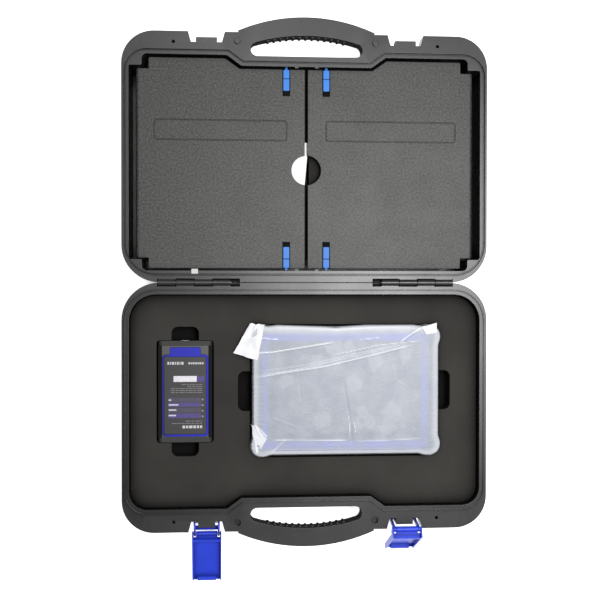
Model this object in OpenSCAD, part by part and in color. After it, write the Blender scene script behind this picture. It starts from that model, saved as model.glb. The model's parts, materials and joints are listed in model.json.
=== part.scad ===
// Diagnostic scanner set in its open carry case: an interface module and a bagged
// tablet in a foam insert, with two doors in the lid. Millimetres, +Z up, +X to the
// right, +Y from the base towards the lid. The origin is the middle of the base's underside.

/* [Case halves] */
// Width of the case across the hinge
case_w = 456; // [440:2:480]
// Distance from the hinge axis to the front edge of a half
half_d = 309; // [300:1:330]
// Height of each half, from the underside to the rim
half_h = 68; // [64:1:80]
// Gap left between the two rims when the case is shut
parting_gap = 0.6; // [0.4:0.1:1]
// Gap between the hinge axis and the back edge of each half
back_gap = 0.3; // [0.2:0.1:0.6]
// Corner radius of the rim beside the hinge
back_r = 46; // [40:1:48]
// Corner radius of the rim at the front
front_r = 40; // [36:1:44]
// Thickness of the rim flange and of the handle
flange_t = 22; // [18:1:24]
// Thickness of the tray floor
floor_t = 3; // [2.5:0.5:4]
// Thickness of the tray walls at the rim
tray_wall = 4; // [3.5:0.5:6]
// Corner radius of the tray beside the hinge
tray_back_r = 24; // [22:1:28]
// Radius-like size of the rounded bottom edge
bottom_round = 4; // [3:0.5:5]

/* [Openings of the halves] */
// Rim width at the sides
rim_side = 9; // [8.5:0.5:11]
// Rim width beside the hinge
rim_back = 14.8; // [14.5:0.1:17]
// Rim width at the front
rim_front = 28.5; // [28:0.5:30]
// Corner radius of the opening beside the hinge
open_back_r = 33; // [28:1:34]
// Corner radius of the opening at the front
open_front_r = 22; // [18:1:24]
// How far the opening steps in behind the handle
handle_step = 13; // [12:0.5:15]
// Half width of that step at its inner edge
step_half = 81; // [78:1:86]
// Run of the slanted side of the step along the front
step_run = 18; // [14:1:22]
// Distance from the opening to the seal bead
bead_off = 4.6; // [3.5:0.1:5]
// Width of the seal bead on the base
bead_w = 1.2; // [0.8:0.1:1.6]
// Height of the seal bead
bead_h = 1.6; // [1:0.1:2.2]
// Clearance round the bead in the groove of the lid
bead_clear = 0.5; // [0.3:0.1:0.8]

/* [Handle] */
// How far the handle stands out past the front edge
handle_rise = 20; // [16:1:24]
// Radius of the outer arc of the handle
handle_r = 210; // [200:5:230]
// Half length of the handle along the front edge
handle_half = 85; // [80:1:88]
// Width of the handle bar at its middle
handle_bar = 23; // [20:0.5:25]
// Radius of the hand opening's far arc
hand_arc_r = 229; // [215:1:240]
// Half length of the hand opening up to its round ends
hand_straight = 61; // [56:1:64]
// Number of finger ribs under the bar
rib_count = 13; // [7:2:15]
// Distance between finger ribs
rib_pitch = 8; // [7:0.5:9]
// Radius of a finger rib
rib_r = 2; // [1.5:0.1:2.5]
// Depth of the smooth edge above the finger ribs
rib_drop = 6; // [4:0.5:9]

/* [Hinge] */
// Distance from the middle to the inner end of a hinge recess
hinge_in = 83; // [76:1:90]
// Distance from that end to the first knuckle
hinge_slot = 10.5; // [8:0.5:12]
// Pitch of the knuckles
knuckle_pitch = 22.6; // [20:0.2:24]
// Gap between neighbouring knuckles
knuckle_gap = 0.8; // [0.5:0.1:1.2]
// Outer radius of a knuckle
knuckle_r = 3.7; // [3.2:0.1:4]
// Clearance between a knuckle and its recess
knuckle_clear = 1.1; // [0.8:0.1:1.5]
// Radius of the hinge pins
hinge_pin_r = 1.5; // [1.2:0.1:1.8]
// Running clearance of every pivot, on the radius
pivot_clear = 0.06; // [0.03:0.01:0.1]

/* [Latches] */
// Distance from the middle to each latch
latch_x = 124; // [118:1:128]
// Width of the latch notch at the front edge
notch_w = 45; // [43:0.5:48]
// How much narrower the notch is at its bottom, each side
notch_taper = 3.5; // [2:0.5:4]
// Depth of the latch notch from the front edge
notch_d = 13; // [12:0.5:14]
// Width of the tab that carries the latch on the base
tab_w = 21; // [18:0.5:24]
// Length of that tab from the bottom of the notch
tab_l = 7.5; // [7:0.1:8]
// Width of the keeper on the lid
keeper_w = 26; // [24:0.5:27]
// Length of the keeper from the bottom of the notch
keeper_l = 6; // [5:0.5:6.5]
// Depth of the latch pivot below the rim
latch_drop = 16; // [14:0.5:18]
// Distance from the bottom of the notch to the latch pivot
latch_out = 3.6; // [3.5:0.1:4]
// Radius of the latch pins
latch_pin_r = 1.5; // [1.2:0.1:1.7]
// Radius of the round ends of the link and of the lever's barrel
boss_r = 3.2; // [3:0.1:3.2]
// Distance between the two pivots of a link
link_l = 32; // [31:0.5:36]
// Thickness of a link arm
arm_t = 2.4; // [2:0.1:2.6]
// Length of the lever from its pivot to its free end
lever_l = 64; // [56:1:68]
// Thickness of the lever's walls and panel
lever_wall = 1.8; // [1.5:0.1:2]
// Height of the lever's side walls above its panel
lever_rim = 5; // [4:0.5:7]
// Side gap between neighbouring latch parts
latch_gap = 0.4; // [0.3:0.1:0.5]
// Angle of the left link at rest, above level
left_link_deg = -50; // [-60:1:-45]
// Angle of the left lever at rest, above level
left_lever_deg = -22; // [-31:1:-18]
// Angle of the right link at rest, above level
right_link_deg = 78; // [70:1:80]
// Angle of the right lever at rest, above level
right_lever_deg = -65; // [-70:1:-50]

/* [Lid doors] */
// Depth of the doors below the rim of the lid
door_drop = 6; // [5:0.5:8]
// Thickness of a door
door_t = 3; // [2.8:0.1:4]
// Half the slit between the two doors
slit_half = 2; // [1.5:0.1:3]
// Gap between a door and the rim
door_gap = 3; // [2:0.1:4]
// Length of the corner blocks along the rim, from the side of the opening
block_w = 16; // [15:0.5:20]
// Length of the corner blocks away from the rim
block_l = 14; // [12:0.5:16]
// Distance from the side of the opening to the door pivot
door_pivot_in = 12; // [11:0.5:13]
// Radius of the rolled edge round the door pivot
door_roll_r = 4; // [3.5:0.1:4.5]
// Radius of the door's trunnions
trunnion_r = 2; // [1.5:0.1:2.5]
// Length of the trunnions inside the corner blocks
trunnion_l = 5; // [4:0.5:6]
// Radius of the finger hole shared by the doors
finger_hole_r = 18.5; // [15:0.5:22]
// Distance from the hinge axis to the finger hole
finger_hole_v = 140; // [120:1:160]
// Width of the framed plate on each door
plate_w = 165; // [140:1:170]
// Height of the framed plate
plate_h = 26; // [20:1:34]
// Distance from the hinge axis to the middle of the plate
plate_v = 189; // [175:1:200]
// Distance from the middle of the lid to the middle of the plate
plate_x = 106.5; // [104:0.5:110]
// Width of the groove that frames the plate
frame_w = 1.4; // [1:0.1:2]
// Depth of that groove
frame_d = 0.6; // [0.4:0.1:0.8]

/* [Door bolts] */
// Distance from the middle of the lid to the bolts
bolt_x = 25; // [24:1:40]
// Width of a bolt
bolt_w = 7.5; // [7:0.1:9]
// Length of a bolt without its tip
bolt_l = 26; // [22:1:30]
// Thickness of a bolt
bolt_t = 2.8; // [2.4:0.1:3.2]
// Side clearance of a bolt in its channel
bolt_clear = 0.9; // [0.5:0.1:1.2]
// Travel of a bolt
bolt_travel = 6; // [5:0.5:7]
// Depth of the bolt channel in the door
channel_d = 1.6; // [1.2:0.1:1.7]
// Width of the bolt's tip
tip_w = 3; // [2.5:0.1:4]
// Reach of the tip into the rim
tip_reach = 2.6; // [2:0.1:3]

/* [Foam and papers] */
// Depth of the foam's top below the rim of the base
foam_drop = 12; // [10:0.5:14]
// Gap between the foam and the walls round it
foam_gap = 1; // [0.5:0.1:1.5]
// Depth of the lid pads' top below the underside of the doors
pad_drop = 6; // [5:0.5:9]
// Gap between the two lid pads
pad_gap = 2.8; // [2:0.2:4]
// Depth of the cable pocket in each lid pad
cable_d = 36; // [25:1:38]
// Width of that pocket
cable_w = 64; // [50:1:70]
// Width of the leaflet
leaflet_w = 105; // [95:1:110]
// Height of the leaflet
leaflet_h = 140; // [120:1:145]
// Thickness of the leaflet
leaflet_t = 2; // [1:0.5:3]
// Angle that the leaflet lies turned by
leaflet_deg = 5; // [4:1:8]
// How far the leaflet's corner reaches past the left pad
leaflet_over = 2; // [0:0.5:4]
// Width of the blank sticker on the rim of the lid
sticker_w = 8; // [6:0.5:10]
// Depth of that sticker
sticker_d = 6; // [4:0.5:6.5]
// Depth of the finger recesses in the foam
grip_d = 22; // [16:1:26]
// Corner radius of the finger recesses
grip_r = 8; // [5:0.5:8]

/* [Interface module] */
// Width of the module
module_w = 67; // [62:0.5:68]
// Length of the module
module_l = 126.5; // [120:0.5:132]
// Height of the module
module_h = 30; // [28.5:0.5:34]
// Distance of the module's middle to the left of the case's middle
module_x = 150.5; // [148:0.5:154]
// Side clearance of the module in its pocket
module_clear = 2; // [1:0.1:2.2]
// Wall thickness of the module's shells
shell_wall = 2.2; // [1.8:0.1:2.5]
// Thickness of the end caps
cap_t = 6; // [5:0.5:7]
// Corner radius of the end caps
cap_r = 5.5; // [3:0.5:6]
// Depth of the recess for the trim and the label
inlay_d = 1.2; // [0.9:0.1:1.3]
// Width of the blue trim's frame
trim_w = 57.5; // [52:0.5:59]
// Length of the blue trim's frame
trim_l = 102; // [90:0.5:104]
// Width of the trim's band
trim_band = 2.6; // [2:0.1:3.5]
// Width of the trim's tab
trim_tab_w = 38; // [30:0.5:44]
// Radius of a status light
light_r = 1.3; // [1:0.1:1.6]
// Distance between status lights
light_pitch = 7; // [5:0.5:8]
// Thickness of the circuit boards
board_t = 1.6; // [1:0.1:2]
// Radius of the module's screw shanks
screw_r = 1.1; // [0.9:0.1:1.3]
// Width of the vehicle port
port_w = 38; // [30:0.5:42]
// Height of both ports
port_h = 7.2; // [6:0.1:7.4]
// Width of the cable port at the other end
usb_w = 12; // [9:0.5:14]

/* [Tablet] */
// Width of the tablet over its bumper
tablet_w = 236; // [228:1:238]
// Depth of the tablet over its bumper
tablet_d = 164; // [156:1:166]
// Height of the tablet
tablet_h = 34; // [32:0.5:36]
// Distance of the tablet's middle to the right of the case's middle
tablet_x = 49.5; // [46:0.5:52]
// Distance from the hinge axis to the middle of module and tablet
pocket_v = 135.8; // [132:0.1:140]
// Thickness of the rubber bumper
bumper_t = 4; // [3:0.5:5]
// Width of the bumper's lip round the bezel
bumper_lip = 11.5; // [10:0.5:13]
// Corner radius of the bumper
bumper_r = 16; // [12:1:20]
// Corner bulge of the bumper
bumper_bulge = 0.6; // [0.2:0.1:0.8]
// How far the bumper's sides stand in between its corners
bumper_waist = 2.2; // [1:0.1:2.4]
// Width of the blue bezel at the sides
bezel_side = 11.5; // [9:0.5:13]
// Width of the blue bezel at the long edges
bezel_end = 14; // [11:0.5:15]
// Wall thickness of the tablet's cover
cover_wall = 2.2; // [1.8:0.1:3]
// Thickness of the screen glass
glass_t = 1.6; // [1:0.1:2]
// Thickness of the display panel
display_t = 3; // [2.5:0.1:4]
// Thickness of the inner chassis plate
chassis_t = 2; // [1.5:0.1:2.5]
// Width of the power button
button_w = 14; // [10:0.5:18]
// Height of the power button
button_h = 5; // [4:0.5:6]
// Travel of the power button
button_travel = 0.6; // [0.4:0.1:0.8]
// Thickness of the bag's film as modelled
film_t = 0.4; // [0.3:0.1:0.5]
// Room between the tablet and the film round it
film_gap = 0.8; // [0.7:0.1:1]

/* [Hidden] */
$fn = 48;
cut = 1;
tiny = 0.01;
seat = 0.3;
fit = 0.1;
arc_steps = 10;
few_steps = 6;
tray_steps = 8;
rim_steps = 14;

half_w = case_w / 2;
hinge_y = half_d / 2;
hinge_z = half_h + parting_gap / 2;
open_x = half_w - rim_side;
open_back = rim_back;
open_front = half_d - rim_front;
open_mid = open_front - handle_step;
step_slope = step_run / handle_step;
step_lean = sqrt(1 + step_slope * step_slope);
step_fillet = 5;
flange_z = half_h - flange_t;
tray_x = open_x + tray_wall;
tray_back = open_back - tray_wall;
tray_front = open_front + tray_wall;
tray_draft = 1;
tray_edge = [[0, bottom_round + tray_draft], [0.3 * bottom_round, 0.4 * bottom_round + tray_draft],
    [bottom_round, tray_draft], [flange_z + cut, 0]];

hand_lap = 0.5;
hand_near = open_front - hand_lap;
hand_far = half_d + handle_rise - handle_bar;
hand_c = hand_far - hand_arc_r;
hand_end_r = (pow(hand_arc_r, 2) - pow(hand_straight, 2) - pow(hand_near - hand_c, 2))
    / (2 * (hand_arc_r + hand_near - hand_c));

knuckles = 4;
knuckle_first = hinge_in + hinge_slot;
hinge_out = knuckle_first + knuckles * knuckle_pitch + knuckle_gap;
knuckle_root = 2;
knuckle_web = knuckle_r + knuckle_clear + knuckle_root;
hinge_pin_l = knuckles * knuckle_pitch;

notch_r = 1;
notch_v = half_d - notch_d;
latch_v = notch_v + latch_out;
latch_z = half_h - latch_drop;
tab_below = 5;
tab_t = latch_drop + tab_below;
keeper_t = latch_z + link_l - boss_r - seat - half_h - parting_gap;
arm_side = 1;
arm_in = keeper_w / 2 + arm_side;
arm_out = arm_in + arm_t;
lever_in = arm_out + latch_gap;
lever_out = lever_in + lever_wall;
bridge_t = 1.4;
bridge_w0 = keeper_l - latch_out + latch_gap;
panel_w0 = max(bridge_w0 + bridge_t, tab_l - latch_out) + latch_gap;
panel_w1 = panel_w0 + lever_wall;
rim_w1 = panel_w1 + lever_rim;
ear_l = 7;
ear_r = boss_r - 2 * fit;
bridge_in = 1.5;
bridge_end = 1.8;
bridge_u0 = latch_drop + bridge_in;
bridge_u1 = link_l - boss_r - bridge_end;

seal_hole_r = 2;
seal_hole_off = 40.5;
seal_hole_x = latch_x + seal_hole_off;
peg_r = 3.7;
peg_h = 3;
peg_off = 38;
peg_up = 2;
peg_x = latch_x - peg_off;
peg_v = notch_v + peg_up;
peg_clear = 0.5;
peg_room = 1;

block_x = open_x - block_w;
block_v0 = open_back + block_l;
block_v1 = open_front - block_l;
door_z = half_h - door_drop;
door_under = door_z - door_t;
door_pivot_x = open_x - door_pivot_in;
door_pivot_z = door_z - door_roll_r;
door_edge_x = door_pivot_x + door_roll_r;
door_v0 = open_back + door_gap;
door_v1 = open_front - door_gap;
door_front_gap = 2.5;
door_corner_gap = 8;
door_end_back = 2;
door_end_front = 3;
door_mid = open_mid - door_front_gap;
door_side_v0 = block_v0 + door_end_back;
door_side_v1 = block_v1 - door_end_front;
door_side_x = block_x - door_corner_gap;

channel_z = door_z - channel_d;
bolt_z = channel_z + fit;
bolt_back = 0.6;
tip_l = bolt_back + door_gap + tip_reach;
shank_w = 4;
shank_l = 8;
foot_w = 8;
foot_l = 11;
foot_t = 1.2;
foot_gap = 0.2;

foam_z = half_h - foam_drop;
pad_z = door_under - pad_drop;
pad_mid = 2.6;
module_z = foam_z - module_h;
module_top = foam_z;
split_z = module_z + module_h / 2;
shell_l = module_l - 2 * cap_t;
board_up = 2;
module_board_z = split_z + board_up;
board_top = module_board_z + board_t;
inner_top = module_top - inlay_d - shell_wall;
boss_edge = 3.4;
boss_end = 5;
boss_post_r = 3;
light_in = 4.6;
boss_x = module_w / 2 - shell_wall - boss_edge;
boss_v = shell_l / 2 - boss_end;
light_x = trim_w / 2 - trim_band - light_in;
light_v0 = 10;
trim_tab_l = 9;
trim_shift = 5;
trim_r = 5;
trim_tab_r = 2;
trim_proud = 0.4;
label_t = 0.8;

tablet_proud = 4;
tablet_pocket_z = foam_z - tablet_h + tablet_proud;
tablet_z = tablet_pocket_z + 2 * seat + film_t;
cover_w = tablet_w - 2 * bumper_t;
cover_d = tablet_d - 2 * bumper_t;
tablet_top = tablet_z + tablet_h;
bezel_proud = 1.2;
chassis_z = tablet_top - glass_t - display_t - chassis_t - bezel_proud;
display_z = chassis_z + chassis_t;
glass_z = display_z + display_t;
bezel_w = tablet_w - 2 * bumper_lip;
bumper_lip_long = 7.5;
bezel_d = tablet_d - 2 * bumper_lip_long;
view_w = bezel_w - 2 * bezel_side;
view_d = bezel_d - 2 * bezel_end;
bumper_top = tablet_top - bezel_proud;
bumper_foot = 1.5;
lip_t = 3;
bezel_r = 8;
view_r = 3;
film_in_w = tablet_w + 2 * film_gap;
film_in_d = tablet_d + 2 * film_gap;
film_head = 1.6;
film_top = tablet_top + film_head;
tablet_pocket_w = film_in_w + 2 * film_t + 2 * seat;
tablet_pocket_d = film_in_d + 2 * film_t + 2 * seat;
module_pocket_w = module_w + 2 * module_clear;
module_pocket_l = module_l + 4 * seat;
button_x = 40;
button_up = 16;
button_reach = 3;
button_z = tablet_z + button_up;
button_l = bumper_t + cover_wall + button_reach;
battery = [120, 80, 7];
tablet_board_size = [150, 96, board_t];
post_h = 9;
post_r = 4;
screw_edge = 5;
screw_head = 1;
tablet_screw_x = tablet_board_size[0] / 2 - screw_edge;
tablet_screw_v = tablet_board_size[1] / 2 - screw_edge;

// Points on the fillet of radius r between the directions to a and to b, at p
function unit(v) = v / norm(v);
function flat(p) = [p[0], p[1]];
function fillet(a, p, b, r, n) =
    let (u = unit(a - p), w = unit(b - p), half = acos(u * w) / 2)
    let (c = p + unit(u + w) * r / sin(half), s = p + u * r / tan(half), e = p + w * r / tan(half))
    let (a0 = atan2(s[1] - c[1], s[0] - c[0]), a1 = atan2(e[1] - c[1], e[0] - c[0]))
    let (turn = (a1 - a0 + 540) % 360 - 180)
    [for (i = [0 : n]) c + r * [cos(a0 + turn * i / n), sin(a0 + turn * i / n)]];

// A closed outline from corners given as [x, y, radius]
function round_path(p, n = arc_steps) = [for (i = [0 : len(p) - 1])
    let (a = flat(p[(i + len(p) - 1) % len(p)]), b = flat(p[(i + 1) % len(p)]))
    each p[i][2] > 0 ? fillet(a, flat(p[i]), b, p[i][2], n) : [flat(p[i])]];

function box_path(x0, y0, x1, y1, r) = round_path([[x0, y0, r], [x1, y0, r], [x1, y1, r], [x0, y1, r]]);

// Outline of the opening of a half, grown outwards by d
function opening_path(d) =
    let (x = open_x + d, v0 = open_back - d, v1 = open_front + d, lean = d * (step_lean - step_slope))
    let (so = step_half + step_run - lean, si = step_half - lean, vm = open_mid + d)
    round_path([[-x, v0, open_back_r + d], [x, v0, open_back_r + d], [x, v1, open_front_r + d],
        [so, v1, step_fillet], [si, vm, step_fillet], [-si, vm, step_fillet], [-so, v1, step_fillet],
        [-x, v1, open_front_r + d]]);

// Outline of the lid's opening, with a block left standing in each corner
function lid_opening_path() =
    let (x = open_x, v0 = open_back, v1 = open_front, so = step_half + step_run, r = 6, f = 2)
    round_path([[-block_x, v0, r], [block_x, v0, r], [block_x, block_v0, f], [x, block_v0, f],
        [x, block_v1, f], [block_x, block_v1, f], [block_x, v1, r], [so, v1, step_fillet],
        [step_half, open_mid, step_fillet], [-step_half, open_mid, step_fillet], [-so, v1, step_fillet],
        [-block_x, v1, r], [-block_x, block_v1, f], [-x, block_v1, f], [-x, block_v0, f],
        [-block_x, block_v0, f]]);

// Both halves are drawn with v, the distance from the hinge axis, as their second axis
module base_place() translate([0, hinge_y, 0]) mirror([0, 1, 0]) children();
module lid_place() translate([0, hinge_y, 0]) children();

module slab(x0, y0, x1, y1, z0, z1, r) {
    translate([0, 0, z0]) linear_extrude(z1 - z0) polygon(box_path(x0, y0, x1, y1, r));
}

module block(x0, y0, x1, y1, z0, z1) translate([x0, y0, z0]) cube([x1 - x0, y1 - y0, z1 - z0]);

module rod_x(x0, x1, r) translate([x0, 0, 0]) rotate([0, 90, 0]) cylinder(h = x1 - x0, r = r);

module rod_y(y0, y1, r) translate([0, y0, 0]) rotate([-90, 0, 0]) cylinder(h = y1 - y0, r = r);

module hand_opening() {
    intersection() {
        translate([0, hand_c]) circle(hand_arc_r, $fn = 128);
        translate([-hand_straight, hand_near]) square([2 * hand_straight, 2 * handle_bar]);
    }
    for (s = [-1, 1]) translate([s * hand_straight, hand_near + hand_end_r]) circle(hand_end_r);
}

module latch_notch(s) {
    w0 = notch_w / 2 - notch_taper;
    w1 = notch_w / 2 + notch_taper * cut / notch_d;
    translate([s * latch_x, 0]) polygon(round_path([[-w0, notch_v, notch_r], [w0, notch_v, notch_r],
        [w1, half_d + cut, 0], [-w1, half_d + cut, 0]], few_steps));
}

module rim_outline() {
    difference() {
        union() {
            polygon(round_path([[-half_w, back_gap, back_r], [half_w, back_gap, back_r],
                [half_w, half_d, front_r], [-half_w, half_d, front_r]], rim_steps));
            intersection() {
                translate([0, half_d + handle_rise - handle_r]) circle(handle_r, $fn = 128);
                translate([-handle_half, hand_near - cut])
                    square([2 * handle_half, half_d + handle_rise - hand_near + 2 * cut]);
            }
        }
        hand_opening();
        for (s = [-1, 1]) latch_notch(s);
    }
}

module tray_slice(inset) {
    polygon(round_path([[-tray_x + inset, tray_back + inset, tray_back_r - inset],
        [tray_x - inset, tray_back + inset, tray_back_r - inset],
        [tray_x - inset, tray_front - inset, open_front_r + tray_wall - inset],
        [-tray_x + inset, tray_front - inset, open_front_r + tray_wall - inset]], tray_steps));
}

// The outside of a half: tapered tray, rim flange with handle, and finger ribs
module half_body() {
    relief = tray_wall * step_lean;
    relief_v0 = open_mid + tray_wall;
    relief_v1 = tray_front + cut;
    function relief_x(v) = step_half + (v - open_mid) * step_slope - relief;
    difference() {
        hull() for (s = tray_edge) translate([0, 0, s[0]]) linear_extrude(tiny) tray_slice(s[1]);
        translate([0, 0, -cut]) linear_extrude(flange_z + 3 * cut) polygon([
            [-relief_x(relief_v0), relief_v0], [relief_x(relief_v0), relief_v0],
            [relief_x(relief_v1), relief_v1], [-relief_x(relief_v1), relief_v1]]);
    }
    translate([0, 0, flange_z]) linear_extrude(flange_t) rim_outline();
    rib_deg = rib_pitch / hand_arc_r * 180 / PI;
    rib_sink = 0.3 * rib_r;
    for (i = [-(rib_count - 1) / 2 : (rib_count - 1) / 2])
        translate([0, hand_c, flange_z]) rotate([0, 0, i * rib_deg])
            translate([0, hand_arc_r + rib_sink, 0]) cylinder(h = flange_t - rib_drop, r = rib_r, $fn = 24);
}

// Places a knuckle, counted from the inner end; the second and fourth belong to the lid
module knuckle_span(s, i, gap) {
    x0 = knuckle_first + i * knuckle_pitch + gap;
    x1 = knuckle_first + (i + 1) * knuckle_pitch;
    scale_x = s > 0 ? x0 : -x1;
    translate([scale_x, 0, 0]) children();
}

module hinge_recess() {
    for (s = [-1, 1]) translate([0, 0, hinge_z])
        rod_x(s > 0 ? hinge_in : -hinge_out, s > 0 ? hinge_out : -hinge_in, knuckle_r + knuckle_clear);
}

module own_knuckles(first, bore) {
    l = knuckle_pitch - knuckle_gap;
    for (s = [-1, 1]) for (i = [first, first + 2]) knuckle_span(s, i, knuckle_gap) difference() {
        union() {
            translate([0, 0, hinge_z]) rod_x(0, l, knuckle_r);
            block(0, 0, l, knuckle_web, hinge_z - knuckle_r, half_h);
        }
        translate([0, 0, hinge_z]) rod_x(-cut, l + cut, bore);
    }
}

module seal_holes() {
    for (s = [-1, 1]) translate([s * seal_hole_x, notch_v, flange_z - cut])
        cylinder(h = flange_t + 2 * cut, r = seal_hole_r);
}

module base_shell() color("#4a4a4a") base_place() {
    difference() {
        union() {
            half_body();
            translate([0, 0, half_h - cut]) linear_extrude(bead_h + cut) difference() {
                polygon(opening_path(bead_off + bead_w));
                polygon(opening_path(bead_off));
            }
            for (s = [-1, 1]) block(s * latch_x - tab_w / 2, notch_v - cut, s * latch_x + tab_w / 2,
                notch_v + tab_l, half_h - tab_t, half_h);
        }
        translate([0, 0, floor_t]) linear_extrude(half_h) polygon(opening_path(0));
        hinge_recess();
        seal_holes();
        for (s = [-1, 1]) {
            translate([s * peg_x, peg_v, half_h - peg_h - peg_room])
                cylinder(h = peg_h + peg_room + cut, r = peg_r + peg_clear);
            translate([s * latch_x, latch_v, latch_z]) rod_x(-tab_w, tab_w, latch_pin_r);
        }
    }
    own_knuckles(0, hinge_pin_r);
}

module bolt_catch(x, v0, v1) {
    clear = 0.4;
    block(x - tip_w / 2 - clear, v0, x + tip_w / 2 + clear, v1, bolt_z - clear, bolt_z + bolt_t);
}

module lid_shell() color("#4a4a4a") lid_place() {
    room = 1;
    difference() {
        union() {
            half_body();
            for (s = [-1, 1]) {
                block(s * latch_x - keeper_w / 2, notch_v - cut, s * latch_x + keeper_w / 2,
                    notch_v + keeper_l, half_h - keeper_t, half_h);
                translate([s * peg_x, peg_v, half_h - cut]) cylinder(h = peg_h + cut, r = peg_r);
            }
        }
        translate([0, 0, floor_t]) linear_extrude(half_h) polygon(lid_opening_path());
        translate([0, 0, half_h - bead_h - room]) linear_extrude(bead_h + room + cut) difference() {
            polygon(opening_path(bead_off + bead_w + bead_clear));
            polygon(opening_path(bead_off - bead_clear));
        }
        hinge_recess();
        seal_holes();
        for (s = [-1, 1]) {
            bolt_catch(s * bolt_x, open_mid - cut, open_mid + tip_reach + room);
            bolt_catch(s * bolt_x, open_back - tip_reach - room, open_back + cut);
            translate([s * door_pivot_x, 0, door_pivot_z]) {
                rod_y(block_v0 - trunnion_l, block_v0 + cut, trunnion_r + pivot_clear);
                rod_y(block_v1 - cut, block_v1 + trunnion_l + room, trunnion_r + pivot_clear);
            }
        }
    }
    own_knuckles(1, hinge_pin_r + pivot_clear);
}

module hinge_pins() color("#b9bcc0") base_place() {
    for (s = [-1, 1]) translate([0, 0, hinge_z])
        rod_x(s > 0 ? knuckle_first : -knuckle_first - hinge_pin_l,
            s > 0 ? knuckle_first + hinge_pin_l : -knuckle_first, hinge_pin_r);
}

module pocket(x, w, l, z, r) {
    slab(x - w / 2, pocket_v - l / 2, x + w / 2, pocket_v + l / 2, z, foam_z + cut, r);
}

module foam_insert() color("#2e2d2b") base_place() {
    tablet_grip = 50;
    module_grip = 34;
    grip_out = 15;
    module_grip_out = 17;
    module_pocket_r = 4;
    difference() {
        translate([0, 0, floor_t]) linear_extrude(foam_z - floor_t) polygon(opening_path(-foam_gap));
        pocket(-module_x, module_pocket_w, module_pocket_l, module_z - seat, module_pocket_r);
        pocket(tablet_x, tablet_pocket_w, tablet_pocket_d, tablet_pocket_z, bumper_r);
        pocket(tablet_x, tablet_pocket_w + 2 * grip_out, tablet_grip, foam_z - grip_d, grip_r);
        pocket(-module_x, module_grip, module_pocket_l + 2 * module_grip_out, foam_z - grip_d, grip_r);
    }
}

// A lid pad with its cable pocket; s is the side, and inner the pad's edge at the middle
module lid_pad(s, inner) {
    pad_side = 10;
    pad_end = 20;
    pad_r = 3;
    cable_r = 12;
    outer = block_x - foam_gap;
    cable_x = outer - pad_side - cable_w / 2;
    v0 = open_back + block_l + foam_gap;
    v1 = open_mid - foam_gap;
    difference() {
        slab(min(inner, s * outer), v0, max(inner, s * outer), v1, floor_t, pad_z, pad_r);
        slab(s * cable_x - cable_w / 2, v0 + pad_end, s * cable_x + cable_w / 2, v1 - pad_end,
            pad_z - cable_d, pad_z + cut, cable_r);
    }
}

module lid_pad_left() color("#3a3938") lid_place() lid_pad(-1, pad_mid - pad_gap / 2);
module lid_pad_right() color("#3a3938") lid_place() lid_pad(1, pad_mid + pad_gap / 2);

module leaflet() color("#f4f4f2") lid_place() {
    corner_x = pad_mid - pad_gap / 2 + leaflet_over;
    corner_v = finger_hole_v + 35;
    paper_r = 1;
    translate([corner_x, corner_v, pad_z]) rotate([0, 0, -leaflet_deg])
        slab(-leaflet_w, -leaflet_h, 0, 0, 0, leaflet_t, paper_r);
}

module rim_sticker() color("#f4f4f2") lid_place() {
    sticker_x = -138.5;
    sticker_t = 0.2;
    sticker_r = 0.4;
    v0 = open_back - bead_off + bead_clear + 2 * fit;
    slab(sticker_x - sticker_w / 2, v0, sticker_x + sticker_w / 2, v0 + sticker_d, half_h,
        half_h + sticker_t, sticker_r);
}

// One door, drawn for the right side
module door() {
    step_clear = 2;
    edge_r = 1;
    side_r = 2;
    step_r = 4;
    plate_r = 4;
    so = step_half + step_run + step_clear;
    si = step_half + step_clear;
    front_v = door_mid - bolt_back - bolt_l / 2;
    back_v = door_v0 + bolt_back + bolt_l / 2;
    difference() {
        union() {
            translate([0, 0, door_under]) linear_extrude(door_t) polygon(round_path([
                [slit_half, door_v0, edge_r], [door_side_x, door_v0, side_r],
                [door_side_x, door_side_v0, edge_r], [door_pivot_x, door_side_v0, 0],
                [door_pivot_x, door_side_v1, 0],
                [door_side_x, door_side_v1, edge_r], [door_side_x, door_v1, side_r], [so, door_v1, step_r],
                [si, door_mid, step_r], [slit_half, door_mid, edge_r]], few_steps));
            translate([door_pivot_x, 0, door_pivot_z]) {
                rod_y(door_side_v0, door_side_v1, door_roll_r);
                rod_y(block_v0 - trunnion_l + seat, door_side_v0 + cut, trunnion_r);
                rod_y(door_side_v1 - cut, block_v1 + trunnion_l, trunnion_r);
            }
        }
        translate([0, finger_hole_v, door_under - cut]) cylinder(h = door_t + 2 * cut, r = finger_hole_r);
        translate([0, 0, door_z - frame_d]) linear_extrude(frame_d + cut) difference() {
            polygon(box_path(plate_x - plate_w / 2, plate_v - plate_h / 2,
                plate_x + plate_w / 2, plate_v + plate_h / 2, plate_r));
            polygon(box_path(plate_x - plate_w / 2 + frame_w, plate_v - plate_h / 2 + frame_w,
                plate_x + plate_w / 2 - frame_w, plate_v + plate_h / 2 - frame_w, plate_r - frame_w));
        }
        bolt_channel(front_v, 1);
        bolt_channel(back_v, -1);
    }
}

// Channel and slot of a bolt whose middle is at v and whose tip points along dir
module bolt_channel(v, dir) {
    w = bolt_w / 2 + bolt_clear;
    far = bolt_l / 2 + bolt_travel + seat;
    near = bolt_l / 2 + bolt_back + cut;
    slot_w = shank_w / 2 + seat;
    slot_near = shank_l / 2 + seat;
    slot_far = shank_l / 2 + bolt_travel + seat;
    translate([bolt_x, v, 0]) mirror([0, dir > 0 ? 0 : 1, 0]) {
        block(-w, -far, w, near, channel_z, door_z + cut);
        block(-slot_w, -slot_far, slot_w, slot_near, door_under - cut, channel_z + cut);
    }
}

module door_right() color("#555453") lid_place() door();
module door_left() color("#555453") lid_place() mirror([1, 0, 0]) door();

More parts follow.
